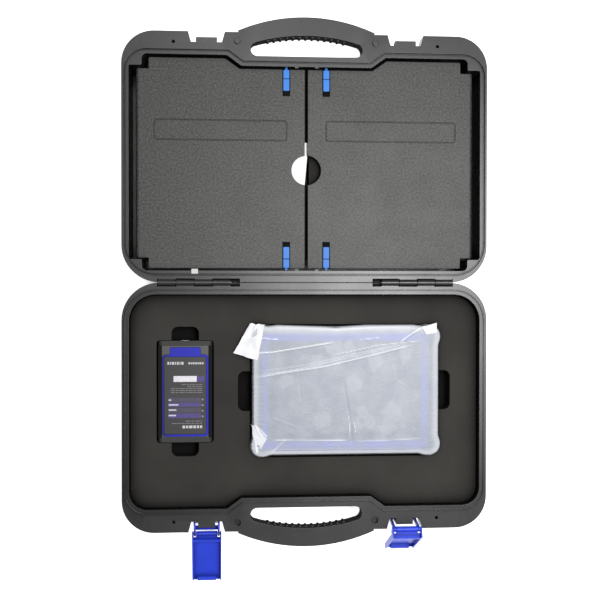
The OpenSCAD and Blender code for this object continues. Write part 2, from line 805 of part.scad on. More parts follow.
// A bolt with its middle at the origin of its channel and its tip along +v
module bolt_body() {
    ridge_t = 1;
    ridge_v = bolt_l / 2 - 11;
    body_r = 1.2;
    foot_r = 1;
    tip_sink = 0.6;
    difference() {
        slab(-bolt_w / 2, -bolt_l / 2, bolt_w / 2, bolt_l / 2, bolt_z, bolt_z + bolt_t, body_r);
        block(-bolt_w, ridge_v - ridge_t / 2, bolt_w, ridge_v + ridge_t / 2, bolt_z + bolt_t - ridge_t,
            bolt_z + bolt_t + cut);
    }
    block(-tip_w / 2, bolt_l / 2 - cut, tip_w / 2, bolt_l / 2 + tip_l, bolt_z, bolt_z + bolt_t - tip_sink);
    block(-shank_w / 2, -shank_l / 2, shank_w / 2, shank_l / 2, door_under - foot_gap - foot_t, bolt_z + cut);
    slab(-foot_w / 2, -foot_l / 2, foot_w / 2, foot_l / 2, door_under - foot_gap - foot_t,
        door_under - foot_gap, foot_r);
}

module bolt(s, front) {
    v = front ? door_mid - bolt_back - bolt_l / 2 : door_v0 + bolt_back + bolt_l / 2;
    lid_place() translate([s * bolt_x, v, 0]) mirror([0, front ? 0 : 1, 0]) bolt_body();
}

module bolt_left_front() color("#4c97ec") bolt(-1, true);
module bolt_left_back() color("#4c97ec") bolt(-1, false);
module bolt_right_front() color("#4c97ec") bolt(1, true);
module bolt_right_back() color("#4c97ec") bolt(1, false);

module latch_pins() color("#b9bcc0") base_place() {
    for (s = [-1, 1]) translate([s * latch_x, latch_v, latch_z]) rod_x(-arm_out, arm_out, latch_pin_r);
}

// Places latch parts: u runs out from the pivot and w is up when the angle is zero
module at_link(s, deg) base_place() translate([s * latch_x, latch_v, latch_z]) rotate([deg, 0, 0]) children();

module at_lever(s, link_deg, deg) {
    base_place() translate([s * latch_x, latch_v + link_l * cos(link_deg), latch_z + link_l * sin(link_deg)])
        rotate([deg, 0, 0]) children();
}

module link() {
    arm_h = 2.4;
    difference() {
        union() {
            for (s = [-1, 1]) {
                x0 = s > 0 ? arm_in : -arm_out;
                block(x0, 0, x0 + arm_t, link_l, -arm_h, arm_h);
                for (u = [0, link_l]) translate([0, u, 0]) rod_x(x0, x0 + arm_t, boss_r);
                block(x0, bridge_u0, x0 + arm_t, bridge_u1, -bridge_w0 - bridge_t, 0);
            }
            block(-arm_out, bridge_u0, arm_out, bridge_u1, -bridge_w0 - bridge_t, -bridge_w0);
        }
        rod_x(-arm_out - cut, arm_out + cut, latch_pin_r + pivot_clear);
        translate([0, link_l, 0]) rod_x(-arm_out - cut, arm_out + cut, latch_pin_r);
    }
}

module lever() {
    barrel_x = arm_in - latch_gap;
    web_u = boss_r - 2 * fit;
    lip_x = 12;
    lip_u = 5;
    end_drop = 2;
    difference() {
        union() {
            rod_x(-barrel_x, barrel_x, boss_r);
            block(-barrel_x, 0, barrel_x, web_u, 0, panel_w1);
            block(-lever_out, web_u - cut, lever_out, lever_l, panel_w0, panel_w1);
            for (s = [-1, 1]) {
                x0 = s > 0 ? lever_in : -lever_out;
                block(x0, -ear_r, x0 + lever_wall, lever_l, panel_w0, rim_w1);
                block(x0, -ear_r, x0 + lever_wall, ear_l, 0, panel_w0 + cut);
                rod_x(x0, x0 + lever_wall, ear_r);
            }
            block(-lever_out, web_u - cut, lever_out, web_u + lever_wall, panel_w0, rim_w1);
            block(-lever_out, lever_l - lever_wall, lever_out, lever_l, panel_w0, rim_w1 - end_drop);
            block(-lip_x, lever_l - lip_u, lip_x, lever_l, panel_w0, rim_w1);
        }
        rod_x(-lever_out - cut, lever_out + cut, latch_pin_r + pivot_clear);
    }
}

module lever_pin() rod_x(-lever_out, lever_out, latch_pin_r);

module link_left() color("#2f49c8") at_link(-1, left_link_deg) link();
module link_right() color("#2f49c8") at_link(1, right_link_deg) link();
module lever_pin_left() color("#b9bcc0") at_lever(-1, left_link_deg, left_lever_deg) lever_pin();
module lever_pin_right() color("#b9bcc0") at_lever(1, right_link_deg, right_lever_deg) lever_pin();
module lever_left() color("#2f49c8") at_lever(-1, left_link_deg, left_lever_deg) lever();
module lever_right() color("#2f49c8") at_lever(1, right_link_deg, right_lever_deg) lever();

// Places the module's pieces: x and v from its middle, heights as in the case
module module_place() base_place() translate([-module_x, pocket_v, 0]) children();

module boss_spots() for (sx = [-1, 1]) for (sv = [-1, 1]) translate([sx * boss_x, sv * boss_v, 0]) children();

module shell_tube(z0, z1) block(-module_w / 2, -shell_l / 2, module_w / 2, shell_l / 2, z0, z1);

module shell_core(z0, z1) {
    x = module_w / 2 - shell_wall;
    block(-x, -shell_l / 2 - cut, x, shell_l / 2 + cut, z0, z1);
}

module module_lower_shell() color("#2b2b2c") module_place() {
    difference() {
        union() {
            difference() {
                shell_tube(module_z, split_z);
                shell_core(module_z + shell_wall, split_z + cut);
            }
            translate([0, 0, module_z + shell_wall - cut]) boss_spots()
                cylinder(h = module_board_z - module_z - shell_wall + cut, r = boss_post_r);
        }
        translate([0, 0, module_z - cut]) boss_spots() {
            cylinder(h = module_h, r = screw_r + fit);
            cylinder(h = cut + shell_wall, r = 2 * screw_r + fit);
        }
    }
}

module trim_outline(grow) {
    v0 = trim_shift - trim_l / 2;
    polygon(box_path(-trim_w / 2 - grow, v0 - grow, trim_w / 2 + grow, v0 + trim_l + grow, trim_r + grow));
    polygon(box_path(-trim_tab_w / 2 - grow, v0 - trim_tab_l - grow, trim_tab_w / 2 + grow,
        v0 + trim_band, trim_tab_r + grow));
}

module label_outline(shrink) {
    x = trim_w / 2 - trim_band - shrink;
    v = trim_l / 2 - trim_band - shrink;
    polygon(box_path(-x, trim_shift - v, x, trim_shift + v, trim_r - trim_band));
}

module light_spots() {
    for (i = [0 : 3]) translate([light_x, light_v0 + i * light_pitch, 0]) children();
}

module module_upper_shell() color("#2b2b2c") module_place() {
    difference() {
        union() {
            difference() {
                shell_tube(split_z, module_top);
                shell_core(split_z - cut, inner_top);
            }
            translate([0, 0, board_top]) boss_spots()
                cylinder(h = inner_top - board_top + cut, r = boss_post_r);
        }
        translate([0, 0, module_top - inlay_d]) linear_extrude(inlay_d + cut) trim_outline(fit);
        translate([0, 0, board_top - cut]) boss_spots() cylinder(h = inner_top - board_top, r = screw_r);
        translate([0, 0, inner_top - cut]) light_spots()
            cylinder(h = shell_wall + 2 * cut, r = light_r + fit);
    }
}

// An end cap, drawn at the +v end, with an opening for a port of width w
module end_cap(w) {
    v0 = shell_l / 2;
    clear = 2 * fit;
    difference() {
        translate([0, v0, 0]) rotate([-90, 0, 0]) linear_extrude(cap_t) polygon(box_path(
            -module_w / 2, -module_top, module_w / 2, -module_z, cap_r));
        block(-w / 2 - clear, v0 - cut, w / 2 + clear, v0 + cap_t + cut, board_top - clear,
            board_top + port_h + clear);
    }
}

module module_port_cap() color("#232324") module_place() end_cap(port_w);
module module_cable_cap() color("#232324") module_place() mirror([0, 1, 0]) end_cap(usb_w);

module module_trim() color("#2b3bb0") module_place() {
    translate([0, 0, module_top - inlay_d]) linear_extrude(inlay_d + trim_proud) difference() {
        trim_outline(0);
        label_outline(0);
    }
}

module module_label() color("#3b3270") module_place() {
    difference() {
        translate([0, 0, module_top - inlay_d]) linear_extrude(label_t) label_outline(fit);
        translate([0, 0, module_top - inlay_d - cut]) light_spots() cylinder(h = 4 * cut, r = light_r + fit);
    }
}

module status_lights() color("#7fd66a") module_place() {
    translate([0, 0, board_top]) light_spots() cylinder(h = module_top - board_top - fit, r = light_r);
}

module module_board() color("#1f6b45") module_place() {
    edge = 0.6;
    x = module_w / 2 - shell_wall - edge;
    v = shell_l / 2 - edge;
    difference() {
        block(-x, -v, x, v, module_board_z, board_top);
        translate([0, 0, module_board_z - cut]) boss_spots()
            cylinder(h = board_t + 2 * cut, r = screw_r + seat);
    }
}

// A port body on the board at the +v end, with its mating hole
module port_body(w) {
    depth = 16;
    lip = 1;
    difference() {
        block(-w / 2, module_l / 2 - depth, w / 2, module_l / 2, board_top, board_top + port_h);
        block(-w / 2 + lip, module_l / 2 - depth / 2, w / 2 - lip, module_l / 2 + cut,
            board_top + lip, board_top + port_h - lip);
    }
}

module vehicle_port() color("#b9bcc0") module_place() port_body(port_w);
module cable_port() color("#b9bcc0") module_place() mirror([0, 1, 0]) port_body(usb_w);

module radio_can() color("#c9cbcd") module_place() {
    can = [20, 18, 2.4];
    can_r = 1;
    translate([-18, -30, board_top]) slab(0, 0, can[0], can[1], 0, can[2], can_r);
}

module module_screws() color("#8d9196") module_place() boss_spots() {
    head_sink = 0.4;
    head_h = shell_wall - head_sink;
    free_end = 1;
    translate([0, 0, module_z + shell_wall - head_h]) cylinder(h = head_h, r = 2 * screw_r);
    translate([0, 0, module_z + shell_wall - cut])
        cylinder(h = inner_top - module_z - shell_wall - free_end, r = screw_r);
}

// Places the tablet's pieces: x and v from its middle, heights as in the case
module tablet_place() base_place() translate([tablet_x, pocket_v, 0]) children();

module plate_at(w, d, z0, z1, r) slab(-w / 2, -d / 2, w / 2, d / 2, z0, z1, r);

module screw_spots() {
    for (sx = [-1, 1]) for (sv = [-1, 1])
        translate([sx * tablet_screw_x, sv * tablet_screw_v, 0]) children();
}

module button_hole(grow) {
    block(button_x - button_w / 2 - grow, -tablet_d / 2 - cut, button_x + button_w / 2 + grow,
        -tablet_d / 2 + button_l + cut, button_z - button_h / 2 - grow, button_z + button_h / 2 + grow);
}

module tablet_cover() color("#262627") tablet_place() {
    head_sink = 0.4;
    r = bumper_r - bumper_t;
    difference() {
        union() {
            difference() {
                plate_at(cover_w, cover_d, tablet_z, chassis_z, r);
                plate_at(cover_w - 2 * cover_wall, cover_d - 2 * cover_wall, tablet_z + cover_wall,
                    chassis_z + cut, r - cover_wall);
            }
            translate([0, 0, tablet_z + cover_wall - cut]) screw_spots()
                cylinder(h = post_h + cut, r = post_r);
        }
        translate([0, 0, tablet_z - cut]) screw_spots() {
            cylinder(h = tablet_h, r = screw_r);
            cylinder(h = cut + screw_head + head_sink, r = 2 * screw_r + fit);
        }
        button_hole(seat);
    }
}

module tablet_bumper() color("#1f1f20") tablet_place() {
    z0 = tablet_z + bumper_foot;
    clear = 2 * fit;
    difference() {
        union() {
            plate_at(tablet_w - 2 * bumper_waist, tablet_d - 2 * bumper_waist, z0, bumper_top,
                bumper_r - bumper_waist);
            for (sx = [-1, 1]) for (sv = [-1, 1]) translate([sx * (tablet_w / 2 - bumper_r),
                sv * (tablet_d / 2 - bumper_r), z0])
                cylinder(h = bumper_top - z0, r = bumper_r + bumper_bulge);
        }
        plate_at(cover_w + clear, cover_d + clear, z0 - cut, bumper_top - lip_t, bumper_r - bumper_t);
        plate_at(bezel_w + clear, bezel_d + clear, z0, bumper_top + cut, bezel_r);
        button_hole(seat);
    }
}

module tablet_bezel() color("#3a52cf") tablet_place() {
    difference() {
        plate_at(bezel_w, bezel_d, display_z, tablet_top, bezel_r);
        plate_at(view_w, view_d, display_z - cut, tablet_top + cut, view_r);
    }
}

module tablet_chassis() color("#9a9da1") tablet_place() {
    plate_at(cover_w - 2 * fit, cover_d - 2 * fit, chassis_z, display_z, bumper_r - bumper_t);
}

module screen_glass() color("#20242c") tablet_place() {
    plate_at(view_w - 4 * fit, view_d - 4 * fit, glass_z, glass_z + glass_t, view_r - 2 * fit);
}

module display_panel() color("#33373d") tablet_place() {
    edge = 0.5;
    plate_at(view_w - 2 * edge, view_d - 2 * edge, display_z, glass_z, view_r - edge);
}

module tablet_board() color("#1f6b45") tablet_place() {
    z = tablet_z + cover_wall + post_h;
    board_r = 2;
    shield = [30, 36, 2];
    shield_r = 1;
    difference() {
        plate_at(tablet_board_size[0], tablet_board_size[1], z, z + board_t, board_r);
        translate([0, 0, z - cut]) screw_spots() cylinder(h = board_t + 2 * cut, r = screw_r + 2 * fit);
    }
    for (x = [-40, 10]) translate([x, -20, z + board_t - tiny])
        slab(0, 0, shield[0], shield[1], 0, shield[2], shield_r);
}

module tablet_battery() color("#5a5d63") tablet_place() {
    cell_r = 3;
    plate_at(battery[0], battery[1], tablet_z + cover_wall, tablet_z + cover_wall + battery[2], cell_r);
}

module power_button() color("#1f1f20") tablet_place() {
    flange = 1.2;
    v0 = -tablet_d / 2 + bumper_t + cover_wall + button_travel / 2;
    intersection() {
        button_hole(0);
        block(-tablet_w, -tablet_d / 2 + bumper_waist, tablet_w, v0 + flange, 0, tablet_top);
    }
    block(button_x - button_w / 2 - flange, v0 - button_travel / 2 + fit, button_x + button_w / 2 + flange,
        v0 + flange, button_z - button_h / 2 - flange, button_z + button_h / 2 + flange);
}

module tablet_screws() color("#8d9196") tablet_place() screw_spots() {
    head_sink = 0.4;
    translate([0, 0, tablet_z + head_sink]) cylinder(h = screw_head, r = 2 * screw_r);
    translate([0, 0, tablet_z + screw_head])
        cylinder(h = cover_wall + post_h + board_t - screw_head, r = screw_r);
}

module film_bag() color("#d4dae2", 0.5) tablet_place() {
    z0 = tablet_pocket_z + seat;
    r = bumper_r + film_gap;
    mouth = 90;
    mouth_z = film_top - 4;
    mouth_h = 2;
    flap = [27, 36, 1];
    flap_r = 6;
    flap_out = 15;
    difference() {
        union() {
            plate_at(film_in_w + 2 * film_t, film_in_d + 2 * film_t, z0, film_top, r);
            translate([-film_in_w / 2 - flap_out, -tablet_d / 2, film_top - 2 * flap[2]])
                slab(0, 0, flap[0], flap[1], 0, flap[2], flap_r);
        }
        plate_at(film_in_w, film_in_d, z0 + film_t, film_top - film_t, r - film_t);
        block(-film_in_w, -mouth / 2, -film_in_w / 2 + cut, mouth / 2,
            mouth_z - mouth_h / 2, mouth_z + mouth_h / 2);
    }
}

base_shell();
lid_shell();
hinge_pins();
foam_insert();
lid_pad_left();
lid_pad_right();
leaflet();
rim_sticker();
door_left();
door_right();
bolt_left_front();
bolt_left_back();
bolt_right_front();
bolt_right_back();
latch_pins();
link_left();
link_right();
lever_pin_left();
lever_pin_right();
lever_left();
lever_right();
module_lower_shell();
module_upper_shell();
module_port_cap();
module_cable_cap();
module_trim();
module_label();
status_lights();
module_board();
vehicle_port();
cable_port();
radio_can();
module_screws();
tablet_cover();
tablet_bumper();
tablet_bezel();
tablet_chassis();
screen_glass();
display_panel();
tablet_board();
tablet_battery();
power_button();
tablet_screws();
film_bag();
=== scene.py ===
"""Looks of the cased diagnostic scanner set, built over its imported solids."""
import json
import math

import bmesh
import bpy
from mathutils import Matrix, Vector, noise


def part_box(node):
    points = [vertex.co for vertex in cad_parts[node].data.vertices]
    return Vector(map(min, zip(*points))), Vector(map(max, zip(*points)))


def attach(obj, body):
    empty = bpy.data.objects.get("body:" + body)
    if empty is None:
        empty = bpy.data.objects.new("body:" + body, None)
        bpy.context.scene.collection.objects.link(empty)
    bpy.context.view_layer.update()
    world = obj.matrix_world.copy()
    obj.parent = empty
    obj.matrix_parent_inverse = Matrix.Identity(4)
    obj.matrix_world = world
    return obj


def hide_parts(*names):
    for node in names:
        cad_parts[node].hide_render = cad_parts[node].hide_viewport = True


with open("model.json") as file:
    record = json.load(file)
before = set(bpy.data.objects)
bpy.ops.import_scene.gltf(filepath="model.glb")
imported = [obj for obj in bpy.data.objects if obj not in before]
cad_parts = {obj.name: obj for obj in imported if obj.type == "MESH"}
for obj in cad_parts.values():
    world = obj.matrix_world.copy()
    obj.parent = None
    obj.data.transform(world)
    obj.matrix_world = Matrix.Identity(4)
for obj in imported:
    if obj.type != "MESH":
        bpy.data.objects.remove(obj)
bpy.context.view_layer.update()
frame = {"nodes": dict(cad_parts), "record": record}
NODES = frame["nodes"]

MM = 0.001
HINGE_Y = 0.1545
HINGE_MM = HINGE_Y * 1000
BLACK = (0.001, 0.001, 0.001)


def base_y(v):
    """World y in metres of a point v millimetres in front of the hinge, in the base."""
    return HINGE_Y - v * MM


def lid_y(v):
    """World y in metres of a point v millimetres behind the hinge, in the lid."""
    return HINGE_Y + v * MM


def box_mm(node):
    """The low and the high corner of a solid's box, in millimetres."""
    return [corner * 1000 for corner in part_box(node)]


def smooth(low, high, value):
    """A soft step from 0 at low to 1 at high."""
    t = max(0.0, min(1.0, (value - low) / (high - low)))
    return t * t * (3 - 2 * t)


def wave(a, b, seed):
    """Smooth noise of about -1 to 1 at a place."""
    return noise.noise(Vector((a, b, seed)))


def add_object(name, data):
    """Puts new data into the scene as an object."""
    made = bpy.data.objects.new(name, data)
    bpy.context.scene.collection.objects.link(made)
    return made


# How materials are made

NOISE_LOW = 0.3
NOISE_HIGH = 0.7
TINT_DETAIL = 3.0
SMEAR_DETAIL = 5.0
HIGHLIGHT_FROM = 0.52
HIGHLIGHT_FULL = 0.62
UPRIGHT_FULL = 0.3
UPRIGHT_NONE = 0.7
SHADE_FULL = 0.4
SHADE_NONE = 0.97
SHADE_COLOUR = (0.002, 0.002, 0.002)
SHADE_SAMPLES = 8
EDGE_SAMPLES = 4


class Paint:
    """A procedural material: one shader, with helpers that add the nodes of its texture."""

    def __init__(self, name, colour, rough, metallic=0.0, specular=0.5):
        self.name = name
        self.material = bpy.data.materials.new(name)
        self.material.use_nodes = True
        self.tree = self.material.node_tree
        self.shader = self.tree.nodes["Principled BSDF"]
        self.give("Base Color", (*colour, 1))
        self.give("Roughness", rough)
        self.give("Metallic", metallic)
        self.give("Specular IOR Level", specular)
        self.colour = colour
        self.rough = rough
        self.place = self.node("ShaderNodeTexCoord").outputs["Object"]
        self.colour_socket = None
        self.rough_socket = None
        self.normal = None
        self.open = None

    def give(self, key, value):
        """Sets a number or colour on the shader's own socket."""
        self.shader.inputs[key].default_value = value

    def feed(self, key, source):
        """Links a texture to the shader."""
        self.link(source, self.shader.inputs[key])

    def link(self, source, target):
        self.tree.links.new(source, target)

    def node(self, kind, **values):
        made = self.tree.nodes.new(kind)
        for key, value in values.items():
            setattr(made, key, value)
        return made

    def noise(self, scale, detail, rough=0.55, stretch=None):
        made = self.node("ShaderNodeTexNoise")
        made.inputs["Scale"].default_value = scale
        made.inputs["Detail"].default_value = detail
        made.inputs["Roughness"].default_value = rough
        source = self.place
        if stretch:
            mapping = self.node("ShaderNodeMapping")
            mapping.inputs["Scale"].default_value = stretch
            self.link(self.place, mapping.inputs["Vector"])
            source = mapping.outputs["Vector"]
        self.link(source, made.inputs["Vector"])
        return made.outputs["Fac"]

    def cells(self, scale):
        made = self.node("ShaderNodeTexVoronoi")
        made.inputs["Scale"].default_value = scale
        self.link(self.place, made.inputs["Vector"])
        return made.outputs["Distance"]

    def span(self, value, low, high, to_low, to_high):
        """Maps low to to_low and high to to_high, and holds both ends."""
        made = self.node("ShaderNodeMapRange")
        ends = {"From Min": low, "From Max": high, "To Min": to_low, "To Max": to_high}
        for key, end in ends.items():
            made.inputs[key].default_value = end
        self.link(value, made.inputs["Value"])
        return made.outputs["Result"]

    def step(self, operation, first, second=None):
        """One step of arithmetic on sockets or numbers."""
        made = self.node("ShaderNodeMath", operation=operation)
        for socket, value in zip(made.inputs, (first, second)):
            if isinstance(value, (int, float)):
                socket.default_value = value
            elif value is not None:
                self.link(value, socket)
        return made.outputs["Value"]

    def blend(self, factor, first, second):
        """Colour between two colours or sockets."""
        made = self.node("ShaderNodeMix", data_type="RGBA")
        for key, value in (("A", first), ("B", second)):
            socket = [s for s in made.inputs if s.name == key and s.type == "RGBA"][0]
            if isinstance(value, tuple):
                socket.default_value = (*value, 1)
            else:
                self.link(value, socket)
        self.link(factor, made.inputs["Factor"])
        return [s for s in made.outputs if s.type == "RGBA"][0]

    def axis(self, vector, name):
        """One of the three parts of a vector."""
        split = self.node("ShaderNodeSeparateXYZ")
        self.link(vector, split.inputs["Vector"])
        return split.outputs[name]

    def away(self, name, centre):
        """Distance from a place along one axis."""
        return self.step("ABSOLUTE", self.step("SUBTRACT", self.axis(self.place, name), centre))

    def upright(self):
        """How near a face is to standing upright, from 0 to 1."""
        normal = self.node("ShaderNodeNewGeometry").outputs["True Normal"]
        tilt = self.step("ABSOLUTE", self.axis(normal, "Z"))
        return self.span(tilt, UPRIGHT_FULL, UPRIGHT_NONE, 1, 0)

    def openness(self, reach, samples):
        """How free a place is of other faces within reach, from 0 to 1."""
        made = self.node("ShaderNodeAmbientOcclusion", samples=samples)
        made.inputs["Distance"].default_value = reach
        return made.outputs["AO"]

    def set_colour(self, source):
        self.colour_socket = source
        self.feed("Base Color", source)

    def set_rough(self, source):
        self.rough_socket = source
        self.feed("Roughness", source)

    def set_normal(self, source):
        self.normal = source
        self.feed("Normal", source)

    def tint(self, scale, amount):
        """Slow changes of lightness over the surface."""
        dark = tuple(c * (1 - amount) for c in self.colour)
        light = tuple(min(1, c * (1 + amount)) for c in self.colour)
        spread = self.span(self.noise(scale, TINT_DETAIL), NOISE_LOW, NOISE_HIGH, 0, 1)
        self.set_colour(self.blend(spread, dark, light))
        return self

    def coat(self, mask, colour):
        """Another colour over the surface where the mask is 1."""
        self.set_colour(self.blend(mask, self.colour_socket, colour))
        return self

    def edge_highlight(self, amount, colour):
        """Painted highlight: lighter sharp edges."""
        sharp = self.node("ShaderNodeNewGeometry").outputs["Pointiness"]
        return self.coat(self.span(sharp, HIGHLIGHT_FROM, HIGHLIGHT_FULL, 0, amount), colour)

    def shade(self, reach, amount=0.9):
        """Painted shade: darker grooves and corners, where other faces stand within reach."""
        self.open = self.openness(reach, SHADE_SAMPLES)
        return self.coat(self.span(self.open, SHADE_FULL, SHADE_NONE, amount, 0), SHADE_COLOUR)

    def smears(self, scale, amount):
        """Uneven gloss."""
        spread = self.noise(scale, SMEAR_DETAIL)
        self.set_rough(self.span(spread, NOISE_LOW, NOISE_HIGH, self.rough - amount, self.rough + amount))
        return self

    def dull(self, mask, colour):
        """A dark place without gloss where the mask is 1, on a paint with smears."""
        self.set_rough(self.step("MAXIMUM", self.rough_socket, mask))
        return self.coat(mask, colour)

    def soft_edges(self, radius):
        """Edges that shade as if they were rounded."""
        made = self.node("ShaderNodeBevel", samples=EDGE_SAMPLES)
        made.inputs["Radius"].default_value = radius
        self.set_normal(made.outputs["Normal"])
        return self

    def bump(self, height, strength, distance):
        made = self.node("ShaderNodeBump")
        made.inputs["Strength"].default_value = strength
        made.inputs["Distance"].default_value = distance
        self.link(height, made.inputs["Height"])
        if self.normal is not None:
            self.link(self.normal, made.inputs["Normal"])
        self.set_normal(made.outputs["Normal"])
        return self


EDGE_ROUND = 0.8 * MM
TINT_SCALE = 12
TINT = 0.15
SMEAR_SCALE = 22
SMEAR = 0.025
GRAIN_SCALE = 1400
GRAIN_DETAIL = 2.0
GRAIN_DEPTH = 0.4 * MM


def plastic(name, colour, rough, grain=0.2, specular=0.5):
    """A moulded plastic or rubber with soft edges, uneven gloss and a fine grain."""
    paint = Paint(name, colour, rough, specular=specular)
    paint.soft_edges(EDGE_ROUND).tint(TINT_SCALE, TINT).smears(SMEAR_SCALE, SMEAR)
    return paint.bump(paint.noise(GRAIN_SCALE, GRAIN_DETAIL), grain, GRAIN_DEPTH)


# Camera, light and floor

CAMERA_PLACE = (-0.1158, 0.1488, 1.368)
CAMERA_TURN = (-0.704, -4.730, 0.039)
CAMERA_LENS = 62.95
CAMERA_SENSOR = 36
CAMERA_NEAR = 0.01
CAMERA_FAR = 100
WORLD_LIGHT = 0.3
LIGHT_Z = 2.0
FLOOR_HALF = 40
FLOOR_Z = -0.5 * MM
FLOOR_COLOUR = (0.95, 0.95, 0.95)
FLOOR_ROUGH = 0.9
FLOOR_GLOW = 0.9
FLOOR_REACH = 0.12
FLOOR_SAMPLES = 16
FLOOR_DARK = 0.1
FLOOR_OPEN = 0.3


def make_camera():
    data = bpy.data.cameras.new("camera")
    data.lens = CAMERA_LENS
    data.sensor_width = CAMERA_SENSOR
    data.clip_start = CAMERA_NEAR
    data.clip_end = CAMERA_FAR
    camera = add_object("camera", data)
    camera.location = CAMERA_PLACE
    camera.rotation_euler = [math.radians(angle) for angle in CAMERA_TURN]
    bpy.context.scene.camera = camera


def softbox(name, x, y, width, length, watts):
    """A level light that shines straight down."""
    data = bpy.data.lights.new(name, "AREA")
    data.shape = "RECTANGLE"
    data.size = width
    data.size_y = length
    data.energy = watts
    light = add_object(name, data)
    light.location = (x, y, LIGHT_Z)


def make_world():
    scene = bpy.context.scene
    scene.view_settings.view_transform = "Standard"
    scene.world = bpy.data.worlds.new("studio")
    scene.world.use_nodes = True
    background = scene.world.node_tree.nodes["Background"]
    background.inputs["Color"].default_value = (1, 1, 1, 1)
    background.inputs["Strength"].default_value = WORLD_LIGHT


def make_floor():
    """A level white floor whose glow dies out in deep gaps, such as the one under the hinge."""
    mesh = bpy.data.meshes.new("floor")
    corners = ((-1, -1), (1, -1), (1, 1), (-1, 1))
    places = [(x * FLOOR_HALF, y * FLOOR_HALF, FLOOR_Z) for x, y in corners]
    mesh.from_pydata(places, [], [(0, 1, 2, 3)])
    paint = Paint("floor_paint", FLOOR_COLOUR, FLOOR_ROUGH)
    paint.give("Emission Color", (1, 1, 1, 1))
    sky = paint.openness(FLOOR_REACH, FLOOR_SAMPLES)
    paint.feed("Emission Strength", paint.span(sky, FLOOR_DARK, FLOOR_OPEN, 0, FLOOR_GLOW))
    mesh.materials.append(paint.material)
    add_object("floor", mesh)


make_camera()
make_world()
softbox("softbox", x=0.43, y=0.2, width=0.56, length=0.9, watts=37)
softbox("side_fill", x=-0.08, y=0.68, width=0.5, length=0.85, watts=6)
make_floor()


# Case: black and glossy, with painted shade, black and matte, in deep gaps and on the upright faces at
# the handle

DEEP_GAP = 0.15
OPEN_GAP = 0.45
HANDLE_X = (72 * MM, 74 * MM)
HANDLE_Y = (278 * MM, 280 * MM)

case_paint = plastic("case_plastic", (0.013, 0.013, 0.013), rough=0.29, grain=0.04, specular=0.4)
# Painted highlight on the case's sharp edges
case_paint.edge_highlight(amount=0.2, colour=(0.08, 0.08, 0.08))
# Painted shade in grooves and corners, and black, matte painted shade in deep gaps
case_paint.shade(reach=25 * MM, amount=0.95)
case_paint.dull(case_paint.span(case_paint.open, DEEP_GAP, OPEN_GAP, 1, 0), BLACK)
# Painted shade, black and matte, on the upright faces at the handle
handle_x = case_paint.span(case_paint.away("X", 0), *HANDLE_X, 1, 0)
handle_y = case_paint.span(case_paint.away("Y", HINGE_Y), *HANDLE_Y, 0, 1)
at_handle = case_paint.step("MULTIPLY", handle_x, handle_y)
case_paint.dull(case_paint.step("MULTIPLY", at_handle, case_paint.upright()), BLACK)

# Doors: a coarse grain, painted shade in grooves, and painted shade where they lie below their top face,
# as in the bolt channels

DOOR_DARK = (0.012, 0.012, 0.011)
DOOR_LIGHT = (0.077, 0.076, 0.073)
DOOR_SPREAD = (0.36, 0.64)
CHANNEL_DEPTH = (0.9 * MM, 1.4 * MM)
CHANNEL_SHADE_COLOUR = (0.004, 0.004, 0.004)
DOOR_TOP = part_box("door_left")[1].z

door_paint = plastic("door_plastic", DOOR_LIGHT, rough=0.43, grain=0.0, specular=0.26)
door_grain = door_paint.noise(scale=420, detail=4.0, rough=0.75)
door_spots = door_paint.span(door_grain, *DOOR_SPREAD, 0, 1)
door_paint.set_colour(door_paint.blend(door_spots, DOOR_DARK, DOOR_LIGHT))
# Painted shade on the floors of the bolt channels, below the door's top face
channel_shade = door_paint.span(door_paint.away("Z", DOOR_TOP), *CHANNEL_DEPTH, 0, 1)
door_paint.dull(channel_shade, CHANNEL_SHADE_COLOUR)
door_paint.shade(reach=10 * MM)
door_paint.bump(door_grain, strength=0.12, distance=0.7 * MM)

# Foam: fine cells, with painted shade in its pockets and grooves

foam_paint = Paint("foam", (0.038, 0.036, 0.033), rough=0.95, specular=0.15)
foam_paint.tint(scale=9, amount=0.2)
foam_paint.shade(reach=30 * MM, amount=0.95)
foam_paint.bump(foam_paint.cells(scale=1500), strength=0.35, distance=0.5 * MM)

# Module: black sides, painted shade in its grooves, and a blue trim with painted shade on its left

MODULE_X = -150.5 * MM
MODULE_SIDE = (28.2 * MM, 29.0 * MM)
TRIM_RIGHT = -121.75 * MM
TRIM_FADE = (45 * MM, 58 * MM)
TRIM_SHADE = 0.8
TRIM_SHADE_COLOUR = (0.004, 0.005, 0.09)

module_paint = plastic("module_plastic", (0.03, 0.03, 0.029), rough=0.46, grain=0.06)
module_paint.shade(reach=10 * MM)
module_paint.dull(module_paint.span(module_paint.away("X", MODULE_X), *MODULE_SIDE, 0, 1), BLACK)
trim_paint = plastic("trim_plastic", (0.012, 0.016, 0.36), rough=0.5, grain=0.04, specular=0.2)
# Painted shade over the left part of the trim
trim_paint.coat(trim_paint.span(trim_paint.away("X", TRIM_RIGHT), *TRIM_FADE, 0, TRIM_SHADE), TRIM_SHADE_COLOUR)

# Bolts and latches: two blues, with painted shade in their grooves

bolt_paint = plastic("bolt_plastic", (0.03, 0.18, 0.6), rough=0.4, grain=0.04, specular=0.2)
bolt_paint.shade(reach=3 * MM)
latch_paint = plastic("latch_plastic", (0.027, 0.062, 0.66), rough=0.36, grain=0.04, specular=0.25)
latch_paint.shade(reach=8 * MM, amount=0.6)

# Film: a milky haze, with pale patches where it clings, white creases and edges that are painted
# highlight, dark folds that are painted shade, and the bezel's blue

